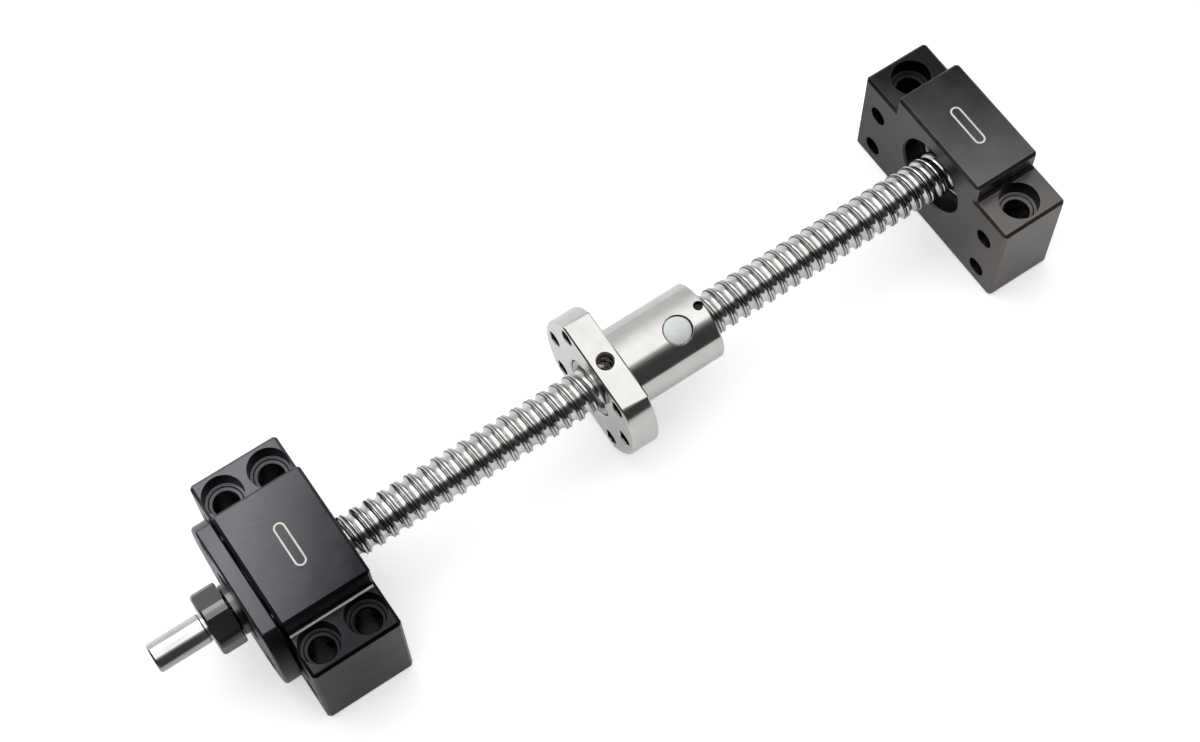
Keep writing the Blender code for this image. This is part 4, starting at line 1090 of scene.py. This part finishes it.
def nut():
    """The nut's flange and body, with every hole that opens on its outside."""
    edge = math.acos(FLANGE_HALF / FLANGE_RADIUS)
    steps = 60
    arc = [edge + (math.pi - 2 * edge) * step / steps for step in range(steps + 1)]
    angles = [*arc, *(angle + math.pi for angle in arc)]
    outline = [around(FLANGE_RADIUS, NUT_TURN + angle) for angle in angles]
    flange_end = NUT_FRONT + FLANGE_THICKNESS
    flange = prism("nut_shell", outline, NUT_FRONT, flange_end, 0.4 * MM)
    body = [
        (flange_end - 4 * MM, NUT_RADIUS),
        (NUT_END - 0.5 * MM, NUT_RADIUS),
        (NUT_END, NUT_RADIUS - 0.5 * MM),
    ]
    recess, bore, depth = 8.3 * MM, 6.3 * MM, 2.8 * MM
    hollow = [
        (NUT_FRONT - MM, recess + 1.3 * MM),
        (NUT_FRONT + 0.3 * MM, recess),
        (NUT_FRONT + depth, recess),
        (NUT_FRONT + depth, bore),
        (NUT_END - depth, bore),
        (NUT_END - depth, recess),
        (NUT_END - 0.3 * MM, recess),
        (NUT_END + MM, recess + 1.3 * MM),
    ]
    tools = [revolve("hollow", solid(hollow), ALONG_X, FINEST)]
    for side in (0, math.pi):
        for step in (-1, 0, 1):
            angle = NUT_TURN + math.pi / 2 + side + step * math.pi / 4
            tools.append(flange_hole(f"flange_hole_{len(tools)}", angle))
    tools.append(oil_hole())
    tools.append(rod("wiper_screw_hole", 1.3 * MM, 8 * MM, 12 * MM, wiper_screw_place(), 40))
    for number, x in enumerate(CAP_PLACES, 1):
        place = cap_place(number, x)
        tools.append(rod(f"cap_pocket_{number}", CAP_POCKET_RADIUS, bore, 12 * MM, place, 72))
    round_body = revolve("nut_round", solid(body), ALONG_X, 192)
    shaped(flange, joined=[round_body], cut=tools, edge=0.07 * MM, angle=42)
    piece(flange, "nut", "ground_steel", GROUND_STEEL, "nut_body")


def oil_hole():
    """The flange's threaded oil hole, cut by a stack of ridged rings, with its drilled floor."""
    floor, top, wide, narrow = 8.2 * MM, FLANGE_HALF, 2.4 * MM, 1.1 * MM
    crest = wide - 0.25 * MM
    outline = [(6 * MM, narrow), (floor - MM, narrow), (floor, crest)]
    pitch, ridges = 0.8 * MM, 7
    for ridge in range(ridges):
        start = floor + 0.4 * MM + ridge * pitch
        for share, radius in ((0.1, crest), (0.5, wide), (0.6, wide), (1, crest)):
            outline.append((start + share * pitch, radius))
    outline += [(top - 0.35 * MM, crest), (top + 0.65 * MM, wide + 0.75 * MM)]
    place = outwards(NUT_FRONT + FLANGE_THICKNESS / 2, NUT_TURN)
    return revolve("oil_hole", solid(outline), place, COARSE)


def wiper_screw_place():
    low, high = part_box("wiper_screw")
    return outwards((low.x + high.x) / 2, math.radians(4))


def cap_place(number, x):
    """The caps stand a third of a turn apart, the last one towards the photo's camera."""
    return outwards(x, CAP_ANGLE - TAU / 3 * (3 - number))


def return_caps():
    """The white caps over the ball returns, sunk a little and rounded to match the nut."""
    crown, rim = NUT_RADIUS - 0.4 * MM, 0.3 * MM
    outline = [(6.6 * MM, 0), (6.6 * MM, CAP_RADIUS), (crown - rim, CAP_RADIUS)]
    outline += [(crown - 0.3 * rim, CAP_RADIUS - 0.3 * rim), (crown, CAP_RADIUS - rim)]
    outline += [(crown, CAP_RADIUS * share) for share in (0.86, 0.7, 0.5, 0.25, 0)]
    for number, x in enumerate(CAP_PLACES, 1):
        cap = revolve(f"cap_{number}", outline, Matrix(), 72)
        for vert in cap.data.vertices:
            if vert.co.z > crown - 2 * rim:
                vert.co.z -= crown - math.sqrt(crown**2 - vert.co.y**2)
        cap.data.transform(cap_place(number, x))
        piece(smooth(cap, 60), "nut", "white_plastic", WHITE_PLASTIC, f"return_cap_{number}")


def wiper(name, node_name):
    """A plastic ring with a soft inner lip."""
    low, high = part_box(node_name)
    inner, outer, lip = SCREW_RADIUS + 0.3 * MM, 8 * MM, 0.4 * MM
    outline = [
        (low.x, outer),
        (high.x, outer),
        (high.x, inner + 0.7 * MM),
        (high.x - lip, inner),
        (low.x + lip, inner),
        (low.x, inner + 0.7 * MM),
    ]
    ring = smooth(revolve(name, eased(outline, 0.12 * MM, 3)))
    piece(ring, "nut", "white_plastic", WHITE_PLASTIC, node_name)


def wiper_screw():
    """The sunk set screw that holds the wiper at the nut's far end."""
    tip, top, radius, chamfer = 8.3 * MM, 10.1 * MM, MM, 0.2 * MM
    outline = [
        (tip, radius - chamfer),
        (tip + chamfer, radius),
        (top - chamfer, radius),
        (top, radius - chamfer),
    ]
    place = wiper_screw_place()
    screw = revolve("wiper_set_screw", solid(outline), place, 36)
    shaped(screw, cut=[rod("wiper_socket", 0.5 * MM, 9.5 * MM, 11 * MM, place, 6)], edge=0.03 * MM)
    piece(screw, "nut", "black_hardware", FIXED_BLACK, "wiper_screw")


def ball_circuits():
    """The CAD's own balls show, in bearing steel."""
    for number in (1, 2, 3):
        balls = frame["nodes"][f"ball_circuit_{number}"]
        balls.data.materials.clear()
        balls.data.materials.append(BEARING_STEEL)


fixed_support()
floating_support()
lid()
for number, angle in enumerate(LID_SCREW_ANGLES, 1):
    lid_screw(number, angle)
seal("lid_dust_seal", "lid_seal")
seal("housing_dust_seal", "housing_seal")
bearings()
screw_thread()
screw_journals()
collars()
lock_nut()
snap_ring()
nut()
return_caps()
wiper("flange_wiper_ring", "flange_wiper")
wiper("end_wiper_ring", "end_wiper")
wiper_screw()
ball_circuits()


# Stage


def floor():
    """A white table top. Its own glow is seen by the camera and by mirrors, and its shadow stays.

    Mirrors and the light see it fade to black towards the front, as the studio is dark there.
    """
    made, shader = new_material("white_table")
    white, camera_glow, mirror_glow = (0.82, 0.82, 0.82), 0.44, 0.12
    dark_from, white_from, slant = -0.26, -0.13, 1.2
    shader.inputs["Roughness"].default_value = 0.7
    shader.inputs["Specular IOR Level"].default_value = 0.1
    ray = node(made, "LightPath")
    direct = ray.outputs["Is Camera Ray"]
    place = node(made, "SeparateXYZ", {"Vector": node(made, "NewGeometry").outputs["Position"]})
    aside = calc(made, "MULTIPLY", place.outputs["X"], slant)
    depth = calc(made, "ADD", place.outputs["Y"], aside)
    lit = calc(made, "MAXIMUM", remapped(made, depth, 0.05, 1.0, dark_from, white_from), direct)
    plug(made, blended(made, lit, (0, 0, 0), white), shader.inputs["Base Color"])
    mirrored = calc(made, "MAXIMUM", ray.outputs["Is Glossy Ray"], ray.outputs["Is Transmission Ray"])
    seen = calc(made, "MULTIPLY", direct, camera_glow)
    glow = calc(made, "MAXIMUM", seen, calc(made, "MULTIPLY", mirrored, mirror_glow))
    shader.inputs["Emission Color"].default_value = (1, 1, 1, 1)
    plug(made, calc(made, "MULTIPLY", glow, lit), shader.inputs["Emission Strength"])
    bm = bmesh.new()
    bmesh.ops.create_grid(bm, x_segments=1, y_segments=1, size=4)
    table = linked("table", bm)
    table.location.z = -0.02 * MM
    table.data.materials.append(made)


# The studio's brightness by angle around the screw, in degrees from straight up towards the front
STUDIO = ((-110, 0.80), (-60, 0.82), (-46, 1.0), (-30, 1.3), (-12, 1.55), (24, 1.6))
STUDIO += ((34, 0.42), (44, 0.10), (56, 0.065), (120, 0.06))


def world():
    """A bright soft ceiling behind the object and a dark room on the camera's side."""
    made = bpy.data.worlds.new("studio")
    bpy.context.scene.world = made
    made.use_nodes = True
    back = made.node_tree.nodes["Background"]
    split = node(made, "SeparateXYZ", {"Vector": node(made, "TexCoord").outputs["Generated"]})
    front = calc(made, "MULTIPLY", split.outputs["Y"], -1)
    towards = calc(made, "ARCTAN2", front, split.outputs["Z"])
    ramp = node(made, "ValToRGB", {"Fac": remapped(made, towards, 0, 1, -math.pi, math.pi)})
    elements = ramp.color_ramp.elements
    for degrees, level in STUDIO:
        stop = elements.new((degrees + 180) / 360)
        stop.color = (level, level, level * 1.01, 1)
    elements.remove(elements[0])
    elements.remove(elements[-1])
    sideways = calc(made, "ABSOLUTE", split.outputs["X"])
    dimmed = remapped(made, sideways, 1.0, 0.06, 0.62, 0.86)
    inputs = {0: ramp.outputs["Color"], "Scale": dimmed}
    lit = node(made, "VectorMath", inputs, operation="SCALE").outputs[0]
    ray = node(made, "LightPath")
    colour = blended(made, ray.outputs["Is Camera Ray"], lit, (1.0, 1.0, 1.0))
    plug(made, colour, back.inputs["Color"])
    back.inputs["Strength"].default_value = 1.0


def key_lamp():
    """One large soft lamp above the object and behind it."""
    place, target = Vector((-0.15, 0.45, 0.75)), Vector((0, 0, 0.02))
    data = bpy.data.lights.new("key", "AREA")
    data.shape = "DISK"
    data.size = 0.60
    data.energy = 1.6
    obj = bpy.data.objects.new("key", data)
    obj.location = place
    obj.rotation_mode = "QUATERNION"
    obj.rotation_quaternion = (target - place).to_track_quat("-Z", "Y")
    bpy.context.scene.collection.objects.link(obj)


def camera():
    data = bpy.data.cameras.new("camera")
    data.lens = CAMERA_LENS
    data.sensor_width = 36
    data.clip_start, data.clip_end = 0.01, 20
    obj = bpy.data.objects.new("camera", data)
    obj.location = CAMERA_PLACE
    obj.rotation_mode = "QUATERNION"
    look = (CAMERA_TARGET - CAMERA_PLACE).to_track_quat("-Z", "Y")
    obj.rotation_quaternion = look @ Quaternion((0, 0, 1), CAMERA_ROLL)
    bpy.context.scene.collection.objects.link(obj)
    bpy.context.scene.camera = obj


floor()
world()
key_lamp()
camera()
bpy.context.scene.view_settings.view_transform = "Standard"
